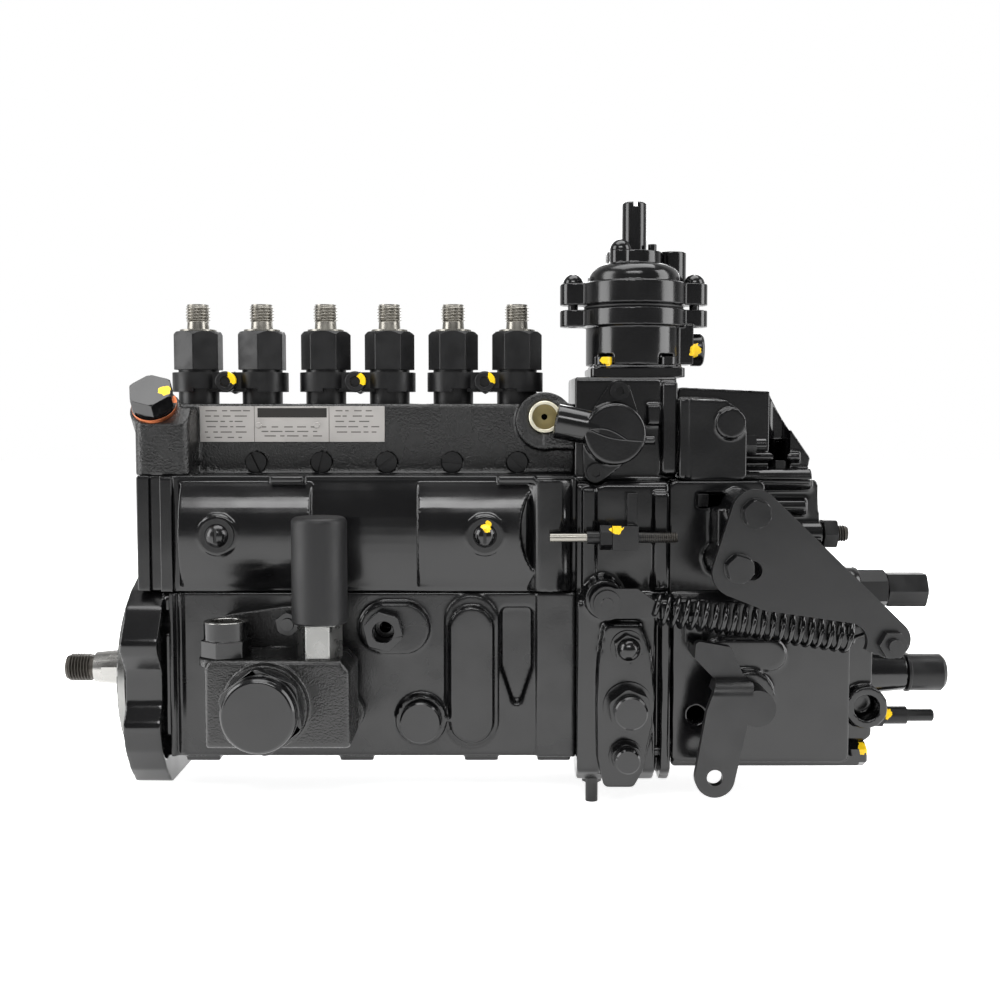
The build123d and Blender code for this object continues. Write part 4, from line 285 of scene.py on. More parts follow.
# camera a little above the middle of the pump, tipped down by the pitch in degrees
camera = {"place": (0.177, -0.657, 0.1284), "pitch": 3.74, "lens": 46.8, "sensor": 36.0}
cameraData = bpy.data.cameras.new("camera")
cameraData.lens = camera["lens"]
cameraData.sensor_width = camera["sensor"]
cameraObject = bpy.data.objects.new("camera", cameraData)
cameraObject.location = camera["place"]
cameraObject.rotation_euler = (radians(90 - camera["pitch"]), 0, 0)
bpy.context.scene.collection.objects.link(cameraObject)
bpy.context.scene.camera = cameraObject


# white paper floor with a painted glow round the pump, soft boxes round the pump, and a surround that is
# pale low down, dim above and white again behind the pump; lengths in metres
studio = {
    "middle": (0.17, 0.0), "floorSize": 9.0, "floorColour": "#fafafa", "floorGlow": 0.74,
    # the glow near the pump and far off, and the distances over which it fades, are a painted pool of light
    # on the paper
    "paintedGlowNear": 0.85, "paintedGlowFar": 0.12, "paintedGlowStart": 0.2, "paintedGlowEnd": 1.2,
    "skyLow": 0.42, "skyHigh": 0.2, "skyEdge": 0.11,
    "skyTop": 0.18, "topStart": 0.5, "topEnd": 1.0,
    "skyBehind": 0.75, "behindStart": 0.1, "behindEnd": 0.6,
    "lights": {
        "leftBox": {"place": (-0.95, -0.35, 0.42), "aim": (0.15, 0, 0.08), "size": (0.6, 1.2), "power": 13},
        "rightBox": {"place": (1.3, -0.3, 0.42), "aim": (0.2, 0, 0.08), "size": (0.6, 1.2), "power": 12},
        "topBox": {"place": (0.2, -0.05, 1.2), "aim": (0.18, 0, 0.05), "size": (1.2, 0.7), "power": 12},
        "frontBox": {"place": (0.1, -1.5, 1.1), "aim": (0.18, 0, 0.08), "size": (1.0, 0.35), "power": 10},
        "backBox": {"place": (0.2, 1.1, 0.6), "aim": (0.18, 0, 0.05), "size": (1.2, 0.5), "power": 9}}}


def backdropRays(tree):
    # 1 for rays from the camera, and 1 for all that look at the surround: those, and the ones that
    # come off a glossy face or through glass
    path = addNode(tree, "ShaderNodeLightPath").outputs
    seen = addNode(tree, "ShaderNodeMath", {"operation": "MAXIMUM", 0: path["Is Camera Ray"],
                                            1: path["Is Glossy Ray"]})
    seen = addNode(tree, "ShaderNodeMath", {"operation": "MAXIMUM", 0: seen.outputs[0],
                                            1: path["Is Transmission Ray"]})
    return path["Is Camera Ray"], seen.outputs[0]


def buildFloor(values):
    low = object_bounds()[0].z
    half = values["floorSize"] / 2
    floor = meshObject("floor", [(-half, -half, low), (half, -half, low), (half, half, low),
                                 (-half, half, low)], [(0, 1, 2, 3)])
    material, tree = emptyMaterial("floorPaper")
    fromCamera, seen = backdropRays(tree)
    diffuse = addNode(tree, "ShaderNodeBsdfDiffuse", {"Color": linear(values["floorColour"])})
    # painted light: the paper's glow, seen in reflections, is brightest round the pump and falls off to the
    # far edge
    where = addNode(tree, "ShaderNodeTexCoord").outputs["Object"]
    away = addNode(tree, "ShaderNodeVectorMath", {"operation": "DISTANCE", 0: where,
                                                  1: (*values["middle"], low)})
    fade = addNode(tree, "ShaderNodeMapRange", {
        "Value": away.outputs["Value"], "From Min": values["paintedGlowStart"], "From Max": values["paintedGlowEnd"],
        "To Min": values["paintedGlowNear"], "To Max": values["paintedGlowFar"]})
    shown = addNode(tree, "ShaderNodeMath", {"operation": "MULTIPLY", 0: fromCamera,
                                             1: values["floorGlow"]})
    strength = addNode(tree, "ShaderNodeMath", {"operation": "MAXIMUM", 0: fade.outputs[0],
                                                1: shown.outputs[0]})
    glow = addNode(tree, "ShaderNodeEmission", {"Color": (1, 1, 1, 1), "Strength": strength.outputs[0]})
    both = addNode(tree, "ShaderNodeAddShader", {0: diffuse.outputs[0], 1: glow.outputs[0]})
    mixed = addNode(tree, "ShaderNodeMixShader", {"Fac": seen, 1: diffuse.outputs[0],
                                                  2: both.outputs[0]})
    addNode(tree, "ShaderNodeOutputMaterial", {"Surface": mixed.outputs[0]})
    setMaterial(floor, material)
    floor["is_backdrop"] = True


def buildWorld(values):
    world = bpy.data.worlds.new("studioWorld")
    bpy.context.scene.world = world
    world.use_nodes = True
    tree = world.node_tree
    tree.nodes.clear()
    # pale at the horizon and dim higher up, as in a tent with its light low, and paler again overhead
    where = addNode(tree, "ShaderNodeTexCoord").outputs["Generated"]
    split = addNode(tree, "ShaderNodeSeparateXYZ", {"Vector": where}).outputs
    rise = addNode(tree, "ShaderNodeMapRange", {
        "Value": split["Z"], "From Min": 0.0, "From Max": values["skyEdge"],
        "To Min": values["skyLow"], "To Max": values["skyHigh"]})
    top = addNode(tree, "ShaderNodeMapRange", {
        "Value": split["Z"], "From Min": values["topStart"], "From Max": values["topEnd"],
        "To Min": 0.0, "To Max": values["skyTop"]})
    # behind the pump the surround is nearly as white as the floor
    behind = addNode(tree, "ShaderNodeMapRange", {
        "Value": split["Y"], "From Min": values["behindStart"], "From Max": values["behindEnd"],
        "To Min": 0.0, "To Max": values["skyBehind"]})
    upper = addNode(tree, "ShaderNodeMath", {"operation": "ADD", 0: rise.outputs[0],
                                             1: top.outputs[0]})
    strength = addNode(tree, "ShaderNodeMath", {"operation": "MAXIMUM", 0: upper.outputs[0],
                                                1: behind.outputs[0]})
    fromCamera, seen = backdropRays(tree)
    shown = addNode(tree, "ShaderNodeMath", {"operation": "MAXIMUM", 0: strength.outputs[0],
                                             1: fromCamera})
    sky, white = (addNode(tree, "ShaderNodeBackground", {"Color": (1, 1, 1, 1), "Strength": each.outputs[0]})
                  for each in (strength, shown))
    mixed = addNode(tree, "ShaderNodeMixShader", {"Fac": seen, 1: sky.outputs[0], 2: white.outputs[0]})
    addNode(tree, "ShaderNodeOutputWorld", {"Surface": mixed.outputs[0]})


def buildLights(values):
    for name, light in values["lights"].items():
        data = bpy.data.lights.new(name, "AREA")
        data.shape = "RECTANGLE"
        data.size, data.size_y = light["size"]
        data.energy = light["power"]
        lamp = bpy.data.objects.new(name, data)
        lamp.location = light["place"]
        aim = Vector(light["aim"]) - Vector(light["place"])
        lamp.rotation_euler = aim.to_track_quat("-Z", "Y").to_euler()
        bpy.context.scene.collection.objects.link(lamp)


buildFloor(studio)
buildWorld(studio)
buildLights(studio)
bpy.context.scene.view_settings.view_transform = "Standard"
print("studio built")


# finishes, with every size in millimetres: roughness is a range, grain and patch are the sizes of the
# fine and the slow pattern, height and wave their depths
enamelFinishes = {
    # oven enamel over machined iron: deep gloss, a faint orange peel
    "enamelSmooth": {"colour": "#0b0b0c", "roughness": (0.1, 0.22), "grain": 2.4, "height": 0.012,
                     "patch": 30, "wave": 0.35, "shine": 0.5},
    # thinner enamel on the flat-bar levers and brackets, rubbed to satin
    "enamelSatin": {"colour": "#0c0c0d", "roughness": (0.3, 0.42), "grain": 1.2, "height": 0.02,
                    "patch": 16, "wave": 0.3, "shine": 0.5},
    # the same enamel over sand casting: the sand's pits show through as a fine pebble
    "enamelCast": {"colour": "#0c0c0d", "roughness": (0.15, 0.3), "grain": 0.9, "height": 0.05,
                   "patch": 22, "wave": 0.6, "shine": 0.5},
    # thicker paint over rougher sand, on the housing's upper band: duller and plainly pebbled
    "enamelRough": {"colour": "#0c0c0c", "roughness": (0.2, 0.34), "grain": 1.1, "height": 0.42,
                    "patch": 14, "wave": 0.5, "shine": 0.5},
    # coarse green-sand casting under the enamel, on the feed pump
    "enamelSand": {"colour": "#0b0b0b", "roughness": (0.14, 0.28), "grain": 0.9, "height": 0.3,
                   "patch": 12, "wave": 0.8, "shine": 0.55},
    # black phosphate and oil on hexagons and screws: finer and less shiny
    "phosphate": {"colour": "#0f0f10", "roughness": (0.32, 0.46), "grain": 0.5, "height": 0.02,
                  "patch": 8, "wave": 0.0, "shine": 0.3},
    # moulded plastic knob, satin
    "mouldedPlastic": {"colour": "#141415", "roughness": (0.42, 0.52), "grain": 0.6, "height": 0.03,
                       "patch": 12, "wave": 0.0, "shine": 0.35},
}

# the part of a noise texture's range that nearly all of it lies in, and the size of a casting's waves
noiseSpan = {"From Min": 0.35, "From Max": 0.65}
castingWave = 26

# yellow seal paint that the factory dabs on set screws: place and radius of each dab, the size of
# the brush marks at its edge and how far they stray
sealPaint = {"colour": "#f2c80a", "roughness": 0.42, "brushMark": 2.6, "stray": 4.0, "dabs": (
    ((45.8, -14.0, 147.4), 3.3), ((110.4, -14.0, 146.8), 3.3), ((173.8, -14.0, 147.4), 3.3),
    ((18.6, -42.4, 139.6), 2.9), ((171.0, -56.6, 77.4), 3.2), ((229.9, -64.5, 77.2), 3.2),
    ((273.6, -7.0, 160.4), 3.3), ((229.0, -22.0, 155.4), 3.2), ((366.8, -27.6, -17.6), 3.0),
    ((350.0, -47.6, -30.0), 3.0))}


def paintMask(tree, where, values):
    # 1 inside any dab; the coordinates are jostled by noise, so that a dab has a brushed edge
    jostle = addNode(tree, "ShaderNodeTexNoise", {"Vector": where, "Scale": perMetre(values["brushMark"]),
                                                  "Detail": 2.0})
    centred = addNode(tree, "ShaderNodeVectorMath", {"operation": "SUBTRACT", 0: jostle.outputs["Color"],
                                                     1: (0.5, 0.5, 0.5)})
    stray = addNode(tree, "ShaderNodeVectorMath", {"operation": "SCALE", 0: centred.outputs[0],
                                                   "Scale": values["stray"] * mm})
    moved = addNode(tree, "ShaderNodeVectorMath", {"operation": "ADD", 0: where, 1: stray.outputs[0]})
    mask = 0.0
    for place, radius in values["dabs"]:
        away = addNode(tree, "ShaderNodeVectorMath", {"operation": "DISTANCE", 0: moved.outputs[0],
                                                      1: tuple(mm * side for side in place)})
        dab = addNode(tree, "ShaderNodeMath", {"operation": "LESS_THAN", 0: away.outputs["Value"],
                                               1: radius * mm})
        joined = addNode(tree, "ShaderNodeMath", {"operation": "MAXIMUM", 0: mask, 1: dab.outputs[0]})
        mask = joined.outputs[0]
    return mask


def enamel(name, values):
    material, tree = emptyMaterial(name)
    where = addNode(tree, "ShaderNodeTexCoord").outputs["Object"]
    grain = addNode(tree, "ShaderNodeTexNoise", {"Vector": where, "Scale": perMetre(values["grain"]),
                                                 "Detail": 3.0, "Roughness": 0.55})
    patch = addNode(tree, "ShaderNodeTexNoise", {"Vector": where, "Scale": perMetre(values["patch"]),
                                                 "Detail": 2.0})
    shine = addNode(tree, "ShaderNodeMapRange", {
        "Value": patch.outputs[0], **noiseSpan, "To Min": values["roughness"][0],
        "To Max": values["roughness"][1]})
    # slow waves of the casting under the fine grain, so that flat faces do not mirror evenly
    slow = addNode(tree, "ShaderNodeTexNoise", {"Vector": where, "Scale": perMetre(castingWave),
                                                "Detail": 1.0})
    wave = addNode(tree, "ShaderNodeBump", {"Height": slow.outputs[0], "Distance": values["wave"] * mm})
    bump = addNode(tree, "ShaderNodeBump", {"Height": grain.outputs[0], "Normal": wave.outputs[0],
                                            "Distance": values["height"] * mm})
    mask = paintMask(tree, where, sealPaint)
    # inputs 6 and 7 of a colour mix are its two colours, and its output 2 is the mixed one
    colour = addNode(tree, "ShaderNodeMix", {"data_type": "RGBA", 0: mask, 6: linear(values["colour"]),
                                             7: linear(sealPaint["colour"])})
    painted = addNode(tree, "ShaderNodeMath", {"operation": "MULTIPLY", 0: mask,
                                               1: sealPaint["roughness"]})
    rough = addNode(tree, "ShaderNodeMath", {"operation": "MAXIMUM", 0: shine.outputs[0],
                                             1: painted.outputs[0]})
    shader = addNode(tree, "ShaderNodeBsdfPrincipled", {
        "Base Color": colour.outputs[2], "Roughness": rough.outputs[0], "Normal": bump.outputs[0],
        "IOR": 1.5, "Specular IOR Level": values["shine"]})
    addNode(tree, "ShaderNodeOutputMaterial", {"Surface": shader.outputs[0]})
    return material


metalFinishes = {
    # turned and ground steel, bare and bright
    "brightSteel": {"colour": "#a5a4a1", "roughness": (0.18, 0.3), "grain": 0.35, "height": 0.002},
    # steel inside the casings, darker with oil
    "oiledSteel": {"colour": "#8b8b8b", "roughness": (0.25, 0.4), "grain": 0.5, "height": 0.006},
    # yellow passivated zinc plate, duller in the bore
    "zincPlate": {"colour": "#e6e1cc", "roughness": (0.34, 0.5), "grain": 0.8, "height": 0.01},
    "zincBore": {"colour": "#a89c72", "roughness": (0.45, 0.6), "grain": 0.8, "height": 0.02},
    # stamped sealing washer of soft copper, dulled to brown
    "copper": {"colour": "#c0704a", "roughness": (0.3, 0.45), "grain": 0.8, "height": 0.01},
    # rolled threads, one bare and one dulled by handling
    "threadSteel": {"colour": "#8d8a83", "roughness": (0.28, 0.42), "grain": 0.4, "height": 0.006},
    "threadDark": {"colour": "#4e4b47", "roughness": (0.32, 0.5), "grain": 0.4, "height": 0.01},
    # etched aluminium of the name plate, matt
    "plateAluminium": {"colour": "#b3b0ad", "roughness": (0.44, 0.56), "grain": 0.4, "height": 0.004},
    # plated steel, on the primer's barrel and the ring of the pilot
    "platedSteel": {"colour": "#8f8f8d", "roughness": (0.24, 0.36), "grain": 0.5, "height": 0.008},
}
# handling leaves clouds of this size on a metal, and the dull ones have this share of its colour
metalClouds = {"size": 7, "dull": 0.82}


def metal(name, values):
    material, tree = emptyMaterial(name)
    where = addNode(tree, "ShaderNodeTexCoord").outputs["Object"]
    grain = addNode(tree, "ShaderNodeTexNoise", {"Vector": where, "Scale": perMetre(values["grain"]),
                                                 "Detail": 4.0})
    cloud = addNode(tree, "ShaderNodeTexNoise", {"Vector": where, "Scale": perMetre(metalClouds["size"]),
                                                 "Detail": 3.0})
    shine = addNode(tree, "ShaderNodeMapRange", {
        "Value": cloud.outputs[0], **noiseSpan, "To Min": values["roughness"][0],
        "To Max": values["roughness"][1]})
    base = linear(values["colour"])
    dull = (*(metalClouds["dull"] * channel for channel in base[:3]), 1.0)
    tint = addNode(tree, "ShaderNodeMix", {"data_type": "RGBA", 0: cloud.outputs[0], 6: dull, 7: base})
    bump = addNode(tree, "ShaderNodeBump", {"Height": grain.outputs[0], "Distance": values["height"] * mm})
    shader = addNode(tree, "ShaderNodeBsdfPrincipled", {
        "Base Color": tint.outputs[2], "Roughness": shine.outputs[0], "Normal": bump.outputs[0],
        "Metallic": 1.0})
    addNode(tree, "ShaderNodeOutputMaterial", {"Surface": shader.outputs[0]})
    return material


plainFinishes = {
    # seals and gaskets moulded in nitrile rubber: black and matt
    "nitrileRubber": {"colour": "#151515", "roughness": 0.55, "grain": 0.8, "height": 0.01},
    # print etched into the name plate, grey-brown, and the black ground of its bar
    "etchedPrint": {"colour": "#55524f", "roughness": 0.5, "grain": 0.5, "height": 0.01},
    "plateBlack": {"colour": "#14110d", "roughness": 0.4, "grain": 0.5, "height": 0.01},
}


def plainFinish(name, values):
    material, tree = emptyMaterial(name)
    where = addNode(tree, "ShaderNodeTexCoord").outputs["Object"]
    grain = addNode(tree, "ShaderNodeTexNoise", {"Vector": where, "Scale": perMetre(values["grain"]),
                                                 "Detail": 2.0})
    bump = addNode(tree, "ShaderNodeBump", {"Height": grain.outputs[0], "Distance": values["height"] * mm})
    shader = addNode(tree, "ShaderNodeBsdfPrincipled", {
        "Base Color": linear(values["colour"]), "Roughness": values["roughness"],
        "Normal": bump.outputs[0]})
    addNode(tree, "ShaderNodeOutputMaterial", {"Surface": shader.outputs[0]})
    return material


finishes = {}
for make, group in ((enamel, enamelFinishes), (metal, metalFinishes), (plainFinish, plainFinishes)):
    finishes.update({name: make(name, values) for name, values in group.items()})
print("materials made:", len(finishes))


# castings: rounded skins over the CAD shapes, from voxels of this size in millimetres, with this many
# rounds of smoothing and this share of the faces kept
castings = {
    # the upper band of the housing was left rougher than the lower body
    "pump_housing": {"voxel": 0.8, "smooth": 3, "keep": 0.24, "finish": "enamelCast", "zones": [
        {"from": (0, 0, 100.5), "along": (0, 0, 1), "start": 0, "end": 50, "finish": "enamelRough"}]},
    "governor_housing": {"voxel": 0.8, "smooth": 5, "keep": 0.28, "finish": "enamelSmooth"},
    "governor_cover": {"voxel": 0.8, "smooth": 5, "keep": 0.28, "finish": "enamelSmooth"},
    "governor_top_cover": {"voxel": 0.6, "smooth": 3, "keep": 0.35, "finish": "enamelSmooth"},
    "side_cover": {"voxel": 0.6, "smooth": 3, "keep": 0.35, "finish": "enamelSmooth"},
    "feed_pump_body": {"voxel": 0.6, "smooth": 3, "keep": 0.4, "finish": "enamelSand"},
    "drive_flange": {"voxel": 0.6, "smooth": 5, "keep": 0.5, "finish": "enamelSmooth"},
    "rack_cap": {"voxel": 0.4, "smooth": 3, "keep": 0.5, "finish": "enamelSmooth"},
    "boost_adapter": {"voxel": 0.4, "smooth": 3, "keep": 0.4, "finish": "enamelSmooth"},
    "boost_lower_case": {"voxel": 0.45, "smooth": 3, "keep": 0.4, "finish": "enamelSmooth"},
    "boost_cover": {"voxel": 0.45, "smooth": 3, "keep": 0.4, "finish": "enamelSmooth"},
}


def castSkin(node, values):
    # voxel skin of the welded copy, smoothed so that edges and corners get cast radii, then thinned
    skin = mergedCopy(node, node + "_skin")
    remesh = skin.modifiers.new("skin", "REMESH")
    remesh.mode = "VOXEL"
    remesh.voxel_size = values["voxel"] * mm
    soften = skin.modifiers.new("soften", "SMOOTH")
    soften.factor = 0.5
    soften.iterations = values["smooth"]
    thin = skin.modifiers.new("thin", "DECIMATE")
    thin.ratio = values["keep"]
    applyModifiers(skin)
    smoothShade(skin, 50)
    setMaterial(skin, finishes[values["finish"]])
    dressZones(skin, values.get("zones", []))
    placePiece(skin, "casing", node)
    return skin


for node, values in castings.items():
    skin = castSkin(node, values)
    print("casting", node, len(skin.data.polygons))


# one delivery valve holder for each of the six pumping elements
elementPlaces = [25.5 + 32.0 * index for index in range(6)]
holder = {"hexTop": 170.0, "threadStart": 174.8, "threadLength": 8.2}

# threads: bare on the pipe ends, dark on the shaft and the set screws
threads = {
    "delivery_valve_holders": [
        {"from": (x, 0, holder["threadStart"]), "along": (0, 0, 1), "length": holder["threadLength"],
         "root": 5.25, "crest": 6.0, "pitch": 1.5, "finish": "threadSteel"} for x in elementPlaces],
    "camshaft": [
        {"from": (-42.4, 0, 0), "along": (1, 0, 0), "length": 11.8, "root": 6.2, "crest": 7.0,
         "pitch": 1.5, "finish": "threadDark"}],
    "adjusting_screws": [
        {"from": (241.2, -60, 72), "along": (1, 0, 0), "length": 17.4, "root": 2.1, "crest": 2.55,
         "pitch": 1.0, "finish": "threadDark"},
        {"from": (341.6, -22, 70.5), "along": (1, 0, 0), "length": 4.9, "root": 3.4, "crest": 4.0,
         "pitch": 1.25, "finish": "threadDark"}],
}
# how far below and above a thread and round it the rod is drawn in, and how far under its root
threadRoom = {"below": 0.3, "above": 0.9, "around": 0.6, "under": 0.02}

# pieces with small edge radii: finish, radius, and zones of another finish
vent = {"seat": (12.0, -34.0, 132.0), "normal": (0, -0.7071, 0.7071)}
feedUnion = {"top": (53.5, -76, 36), "bore": 7.4}
machined = {
    "delivery_valve_holders": {"finish": "phosphate", "edge": 0.25, "zones": [
        {"from": (0, 0, holder["hexTop"]), "along": (0, 0, 1), "start": 0.3, "end": 20,
         "finish": "threadSteel"}]},
    "holder_clamps": {"finish": "phosphate", "edge": 0.4},
    "clamp_screws": {"finish": "phosphate", "edge": 0.3},
    "housing_screws": {"finish": "enamelSmooth", "edge": 0.3},
    "housing_plugs": {"finish": "enamelSmooth", "edge": 0.3},
    "vent_screw": {"finish": "enamelSmooth", "edge": 0.4, "zones": [
        {"from": vent["seat"], "along": vent["normal"], "start": -0.2, "end": 2.1, "reach": (6, 12),
         "finish": "copper"}]},
    "fuel_port_sleeve": {"finish": "zincPlate", "edge": 0.3, "zones": [
        {"from": (198.6, -31, 127.5), "along": (0, 1, 0), "start": 0.6, "end": 14, "reach": (0, 6.3),
         "finish": "zincBore"}]},
    "oil_inlet_fitting": {"finish": "enamelSmooth", "edge": 0.4},
    "feed_pump_plug": {"finish": "enamelSmooth", "edge": 0.5},
    "feed_inlet_union": {"finish": "enamelSmooth", "edge": 0.3, "zones": [
        {"from": feedUnion["top"], "along": (0, 0, 1), "start": -1.3, "end": 1, "finish": "brightSteel"},
        {"from": feedUnion["top"], "along": (0, 0, 1), "start": -30, "end": 1,
         "reach": (0, feedUnion["bore"]), "finish": "brightSteel"}]},
    "priming_barrel": {"finish": "platedSteel", "edge": 0.3},
    "priming_knob": {"finish": "mouldedPlastic", "edge": 0.8},
    "governor_plugs": {"finish": "enamelSmooth", "edge": 0.6},
    "governor_screws": {"finish": "enamelSmooth", "edge": 0.5},
    "spring_anchor": {"finish": "enamelSmooth", "edge": 0.4},
    "stops": {"finish": "enamelSmooth", "edge": 0.4},
    "adjusting_screws": {"finish": "phosphate", "edge": 0.3, "zones": [
        {"from": (200, -60, 72), "along": (1, 0, 0), "start": -1, "end": 17.5, "reach": (0, 2.3),
         "finish": "threadSteel"}]},
    "idle_capsule": {"finish": "phosphate", "edge": 0.4},
    "control_lever": {"finish": "enamelSatin", "edge": 0.9},
    "spring_bracket": {"finish": "enamelSatin", "edge": 0.8},
    "boost_screws": {"finish": "enamelSmooth", "edge": 0.3},
    "boost_adjuster": {"finish": "enamelSmooth", "edge": 0.4},
    "name_plate": {"finish": "plateAluminium", "edge": 0.15},
    "camshaft": {"finish": "brightSteel", "edge": 0, "zones": [
        {"from": (0, 0, 0), "along": (1, 0, 0), "start": -44, "end": -29, "finish": "threadDark"},
        {"from": (0, 0, 0), "along": (1, 0, 0), "start": -5, "end": 300, "finish": "oiledSteel"}]},
}


def machinedPiece(node, values):
    piece = mergedCopy(node, node + "_piece", values["edge"] > 0)
    for thread in threads.get(node, []):
        zone = dict(thread, start=-threadRoom["below"], end=thread["length"] + threadRoom["above"],
                    reach=(0, thread["crest"] + threadRoom["around"]))
        shrinkZone(piece, zone, thread["root"] - threadRoom["under"])
    smoothShade(piece, 35)
    # a turned shaft keeps its sharp edges; the others get a small radius and level faces
    if values["edge"] > 0:
        bevel = piece.modifiers.new("edges", "BEVEL")
        bevel.width = values["edge"] * mm
        bevel.segments = 2
        bevel.limit_method = "ANGLE"
        bevel.angle_limit = radians(32)
        bevel.use_clamp_overlap = True
        level = piece.modifiers.new("level", "WEIGHTED_NORMAL")
        level.keep_sharp = True
        applyModifiers(piece)
    setMaterial(piece, finishes[values["finish"]])
    dressZones(piece, values.get("zones", []))
    placePiece(piece, bodyOf[node], node)


for node, values in machined.items():
    machinedPiece(node, values)
for node, group in threads.items():
    for index, thread in enumerate(group):
        placePiece(threadSkin(f"{node}_thread_{index + 1}", thread, threadForm), bodyOf[node])
print("machined pieces:", len(machined))


# return spring: out of the anchor's tongue, along the coil, and hooked over the pin behind the bracket;
# hookTurn is the hook's start and end in degrees from upright
spring = {"coilStart": (246.4, -72.5, 41.0), "coilEnd": (337.6, -72.5, 27.5), "radius": 6.6,
          "wire": 1.05, "turns": 21, "pointsPerTurn": 22, "leg": (343.4, -78.0, 31.2), "legPoints": 9,
          "pin": (350.0, -82.3, 27.4), "hookRadius": 6.2, "hookTurn": (-35, 215), "hookPoints": 22}


def springPath(values):
    # centre line plus the radius times (cos, sin) of the turns; the radius swells from nothing in the
    # first half turn and falls again in the last
    start, end = np.array(values["coilStart"]), np.array(values["coilEnd"])
    axis = (end - start) / np.linalg.norm(end - start)
    side = np.array([0.0, -1.0, 0.0])
    rise = np.cross(axis, side)
    part = np.linspace(0, 1, values["turns"] * values["pointsPerTurn"] + 1)[:, None]
    angle = part * values["turns"] * tau
    swell = np.clip(np.minimum(part, 1 - part) * values["turns"] * 2, 0, 1) ** 0.5
    around = np.cos(angle) * rise + np.sin(angle) * side
    coil = start + part * (end - start) + values["radius"] * swell * around
    # the hook is an arc about the pin, upright and square to it
    swing = np.radians(np.linspace(*values["hookTurn"], values["hookPoints"]))[:, None]
    ahead = np.array([1.0, 0.0, 0.0])
    hook = np.array(values["pin"]) + values["hookRadius"] * (np.cos(swing) * up + np.sin(swing) * ahead)
    # the leg is a quadratic curve from the coil's end to the hook
    t = np.linspace(0, 1, values["legPoints"])[1:-1, None]
    leg = (1 - t) ** 2 * coil[-1] + 2 * t * (1 - t) * np.array(values["leg"]) + t ** 2 * hook[0]
    return np.concatenate([coil, leg, hook])


def buildSpring(values):
    wire = sweepTube("return_spring_wire", springPath(values), values["wire"], "enamelSmooth", sides=10)
    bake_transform(wire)
    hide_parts("return_spring")


buildSpring(spring)
print("return spring swept")


# name plate print: three panels, a dark bar and blocks of strokes that stand for text; each stroke and
# each gap has a length between two limits
plate = {"low": 115.3, "high": 132.7, "face": -20.8, "proud": 0.05,
         "panels": (57.0, 93.5), "panelLine": 0.15, "bar": (58.6, 92.4, 127.2, 131.8), "barProud": 0.075,
         "stroke": (1.5, 6.0), "gap": (0.8, 3.0), "indent": 2, "shortest": 3, "strokeHalf": 0.28,
         "blocks": ({"left": 32, "right": 55, "top": 130.5, "rows": 6, "pitch": 2.6},
                    {"left": 60, "right": 91, "top": 122.6, "rows": 3, "pitch": 2.2},
                    {"left": 96, "right": 118, "top": 130.5, "rows": 5, "pitch": 2.6})}


def printedPlate(values):
    # each mark is a thin box on the plate's face: x range, z range
    line, half = values["panelLine"], values["strokeHalf"]
    marks = [(x - line, x + line, values["low"], values["high"]) for x in values["panels"]]
    shades = np.random.default_rng(7)
    for block in values["blocks"]:
        for row in range(block["rows"]):
            z = block["top"] - row * block["pitch"]
            x = block["left"] + shades.uniform(0, values["indent"])
            while x < block["right"] - values["shortest"]:
                width = shades.uniform(*values["stroke"])
                marks.append((x, min(x + width, block["right"]), z - half, z + half))
                x += width + shades.uniform(*values["gap"])
    return marks


def flatMarks(name, marks, face, proud, finish):
    # boxes from just behind the face to just before it: the low corner plus the size times the corners
    # of a unit box
    unit = np.array([(x, y, z) for x in (0, 1) for y in (0, 1) for z in (0, 1)], float)
    sides = np.array([(0, 1, 3, 2), (4, 6, 7, 5), (0, 4, 5, 1), (2, 3, 7, 6), (0, 2, 6, 4), (1, 5, 7, 3)])
    left, right, low, high = np.array(marks, float).T
    near = np.stack([left, np.full(len(marks), face - proud), low], axis=1)
    size = np.stack([right - left, np.full(len(marks), 2 * proud), high - low], axis=1)
    points = (near[:, None] + unit * size[:, None]).reshape(-1, 3)
    faces = (sides + len(unit) * np.arange(len(marks))[:, None, None]).reshape(-1, 4)
    made = meshObject(name, points * mm, faces.tolist())
    setMaterial(made, finishes[finish])
    placePiece(made)


flatMarks("name_plate_print", printedPlate(plate), plate["face"], plate["proud"], "etchedPrint")
flatMarks("name_plate_bar", [plate["bar"]], plate["face"], plate["barProud"], "plateBlack")

# raised parting line on the round cap: two shallow arcs that meet, and a straight tail to the rim
cap = {"face": -48.5, "wire": 0.55, "points": 24, "lines": {
    "upper": {"start": (218.6, 121.6), "end": (236.6, 116.6), "bow": 2.4},
    "lower": {"start": (218.6, 121.6), "end": (236.6, 116.6), "bow": -1.08},
    "tail": {"start": (236.6, 116.6), "end": (244.4, 116.0), "bow": 0.0}}}


def capLine(values):
    # each line is straight from start to end in x and z, plus the bow times half a sine wave in z
    part = np.linspace(0, 1, values["points"])
    for name, line in values["lines"].items():
        start, end = np.array(line["start"]), np.array(line["end"])
        x, z = (start + part[:, None] * (end - start)).T
        path = np.stack([x, np.full(len(x), values["face"]), z + line["bow"] * np.sin(part * tau / 2)],
                        axis=1)
        placePiece(sweepTube("rack_cap_line_" + name, path, values["wire"], "enamelSmooth", sides=8))


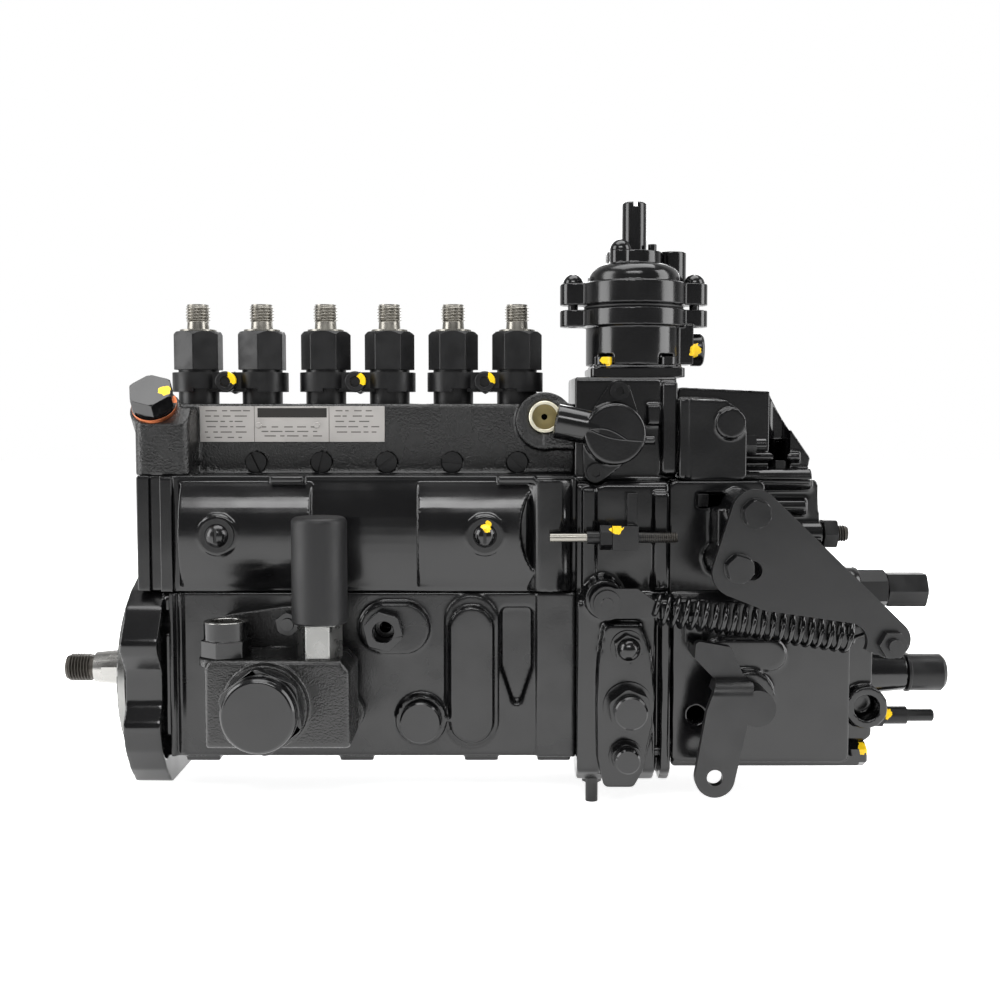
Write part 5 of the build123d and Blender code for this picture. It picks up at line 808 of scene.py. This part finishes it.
capLine(cap)

# turned rings: the seat low in the fuel port and the plated rim of the flange's pilot
ringSizes = {
    "fuel_port_seat": {"place": (198.6, -22.5, 127.5), "along": (0, 1, 0), "inner": 1.5, "outer": 6.1,
                       "thick": 2.0, "chamfer": 0.1, "finish": "zincBore"},
    "pilot_rim": {"place": (-6.05, 0, 0), "along": (1, 0, 0), "inner": 42.0, "outer": 44.1,
                  "thick": 4.6, "chamfer": 0.7, "finish": "platedSteel"},
}


def turnedRing(name, values):
    # the outline of the section, chamfered at its outer edges, turned about the axis
    inner, outer, thick, chamfer = (values[key] for key in ("inner", "outer", "thick", "chamfer"))
    outline = ((inner, 0), (outer - chamfer, 0), (outer, chamfer), (outer, thick - chamfer),
               (outer - chamfer, thick), (inner, thick))
    around = circle(*crossFrame(values["along"]), 96)
    start, along = np.array(values["place"], float), np.array(values["along"], float)
    rings = np.array([start + radius * around + depth * along for radius, depth in outline])
    placePiece(ringMesh(name, rings, values["finish"], hollow=True))


for name, values in ringSizes.items():
    turnedRing(name, values)

# drain bolt at the foot of the governor, put in from the end that is away from the drive
drainBolt = {"place": (341.0, -44.0, -33.0), "length": 10.4, "flats": 10.6, "chamfer": 0.8}


def hexBolt(name, values, finish):
    # hexagonal rings along +X; the last one is drawn in by the chamfer
    corner = values["flats"] / np.cos(tau / 12) / 2
    hexagon = circle(np.array([0.0, 1.0, 0.0]), up, 6, tau / 12)
    outline = ((0, corner), (values["length"] - values["chamfer"], corner),
               (values["length"], corner - values["chamfer"]))
    rings = [np.array(values["place"]) + radius * hexagon + (along, 0, 0) for along, radius in outline]
    placePiece(ringMesh(name, np.array(rings), finish))


hexBolt("drain_bolt", drainBolt, "enamelSmooth")
print("small details placed")

# what stays as the CAD made it, mostly inside the casings
rubberNodes = ("drive_seals", "gaskets", "boost_diaphragm")
for node, target in nodes.items():
    if node not in castings and node not in machined:
        setMaterial(target, finishes["nitrileRubber" if node in rubberNodes else "oiledSteel"])
print("inner pieces dressed")
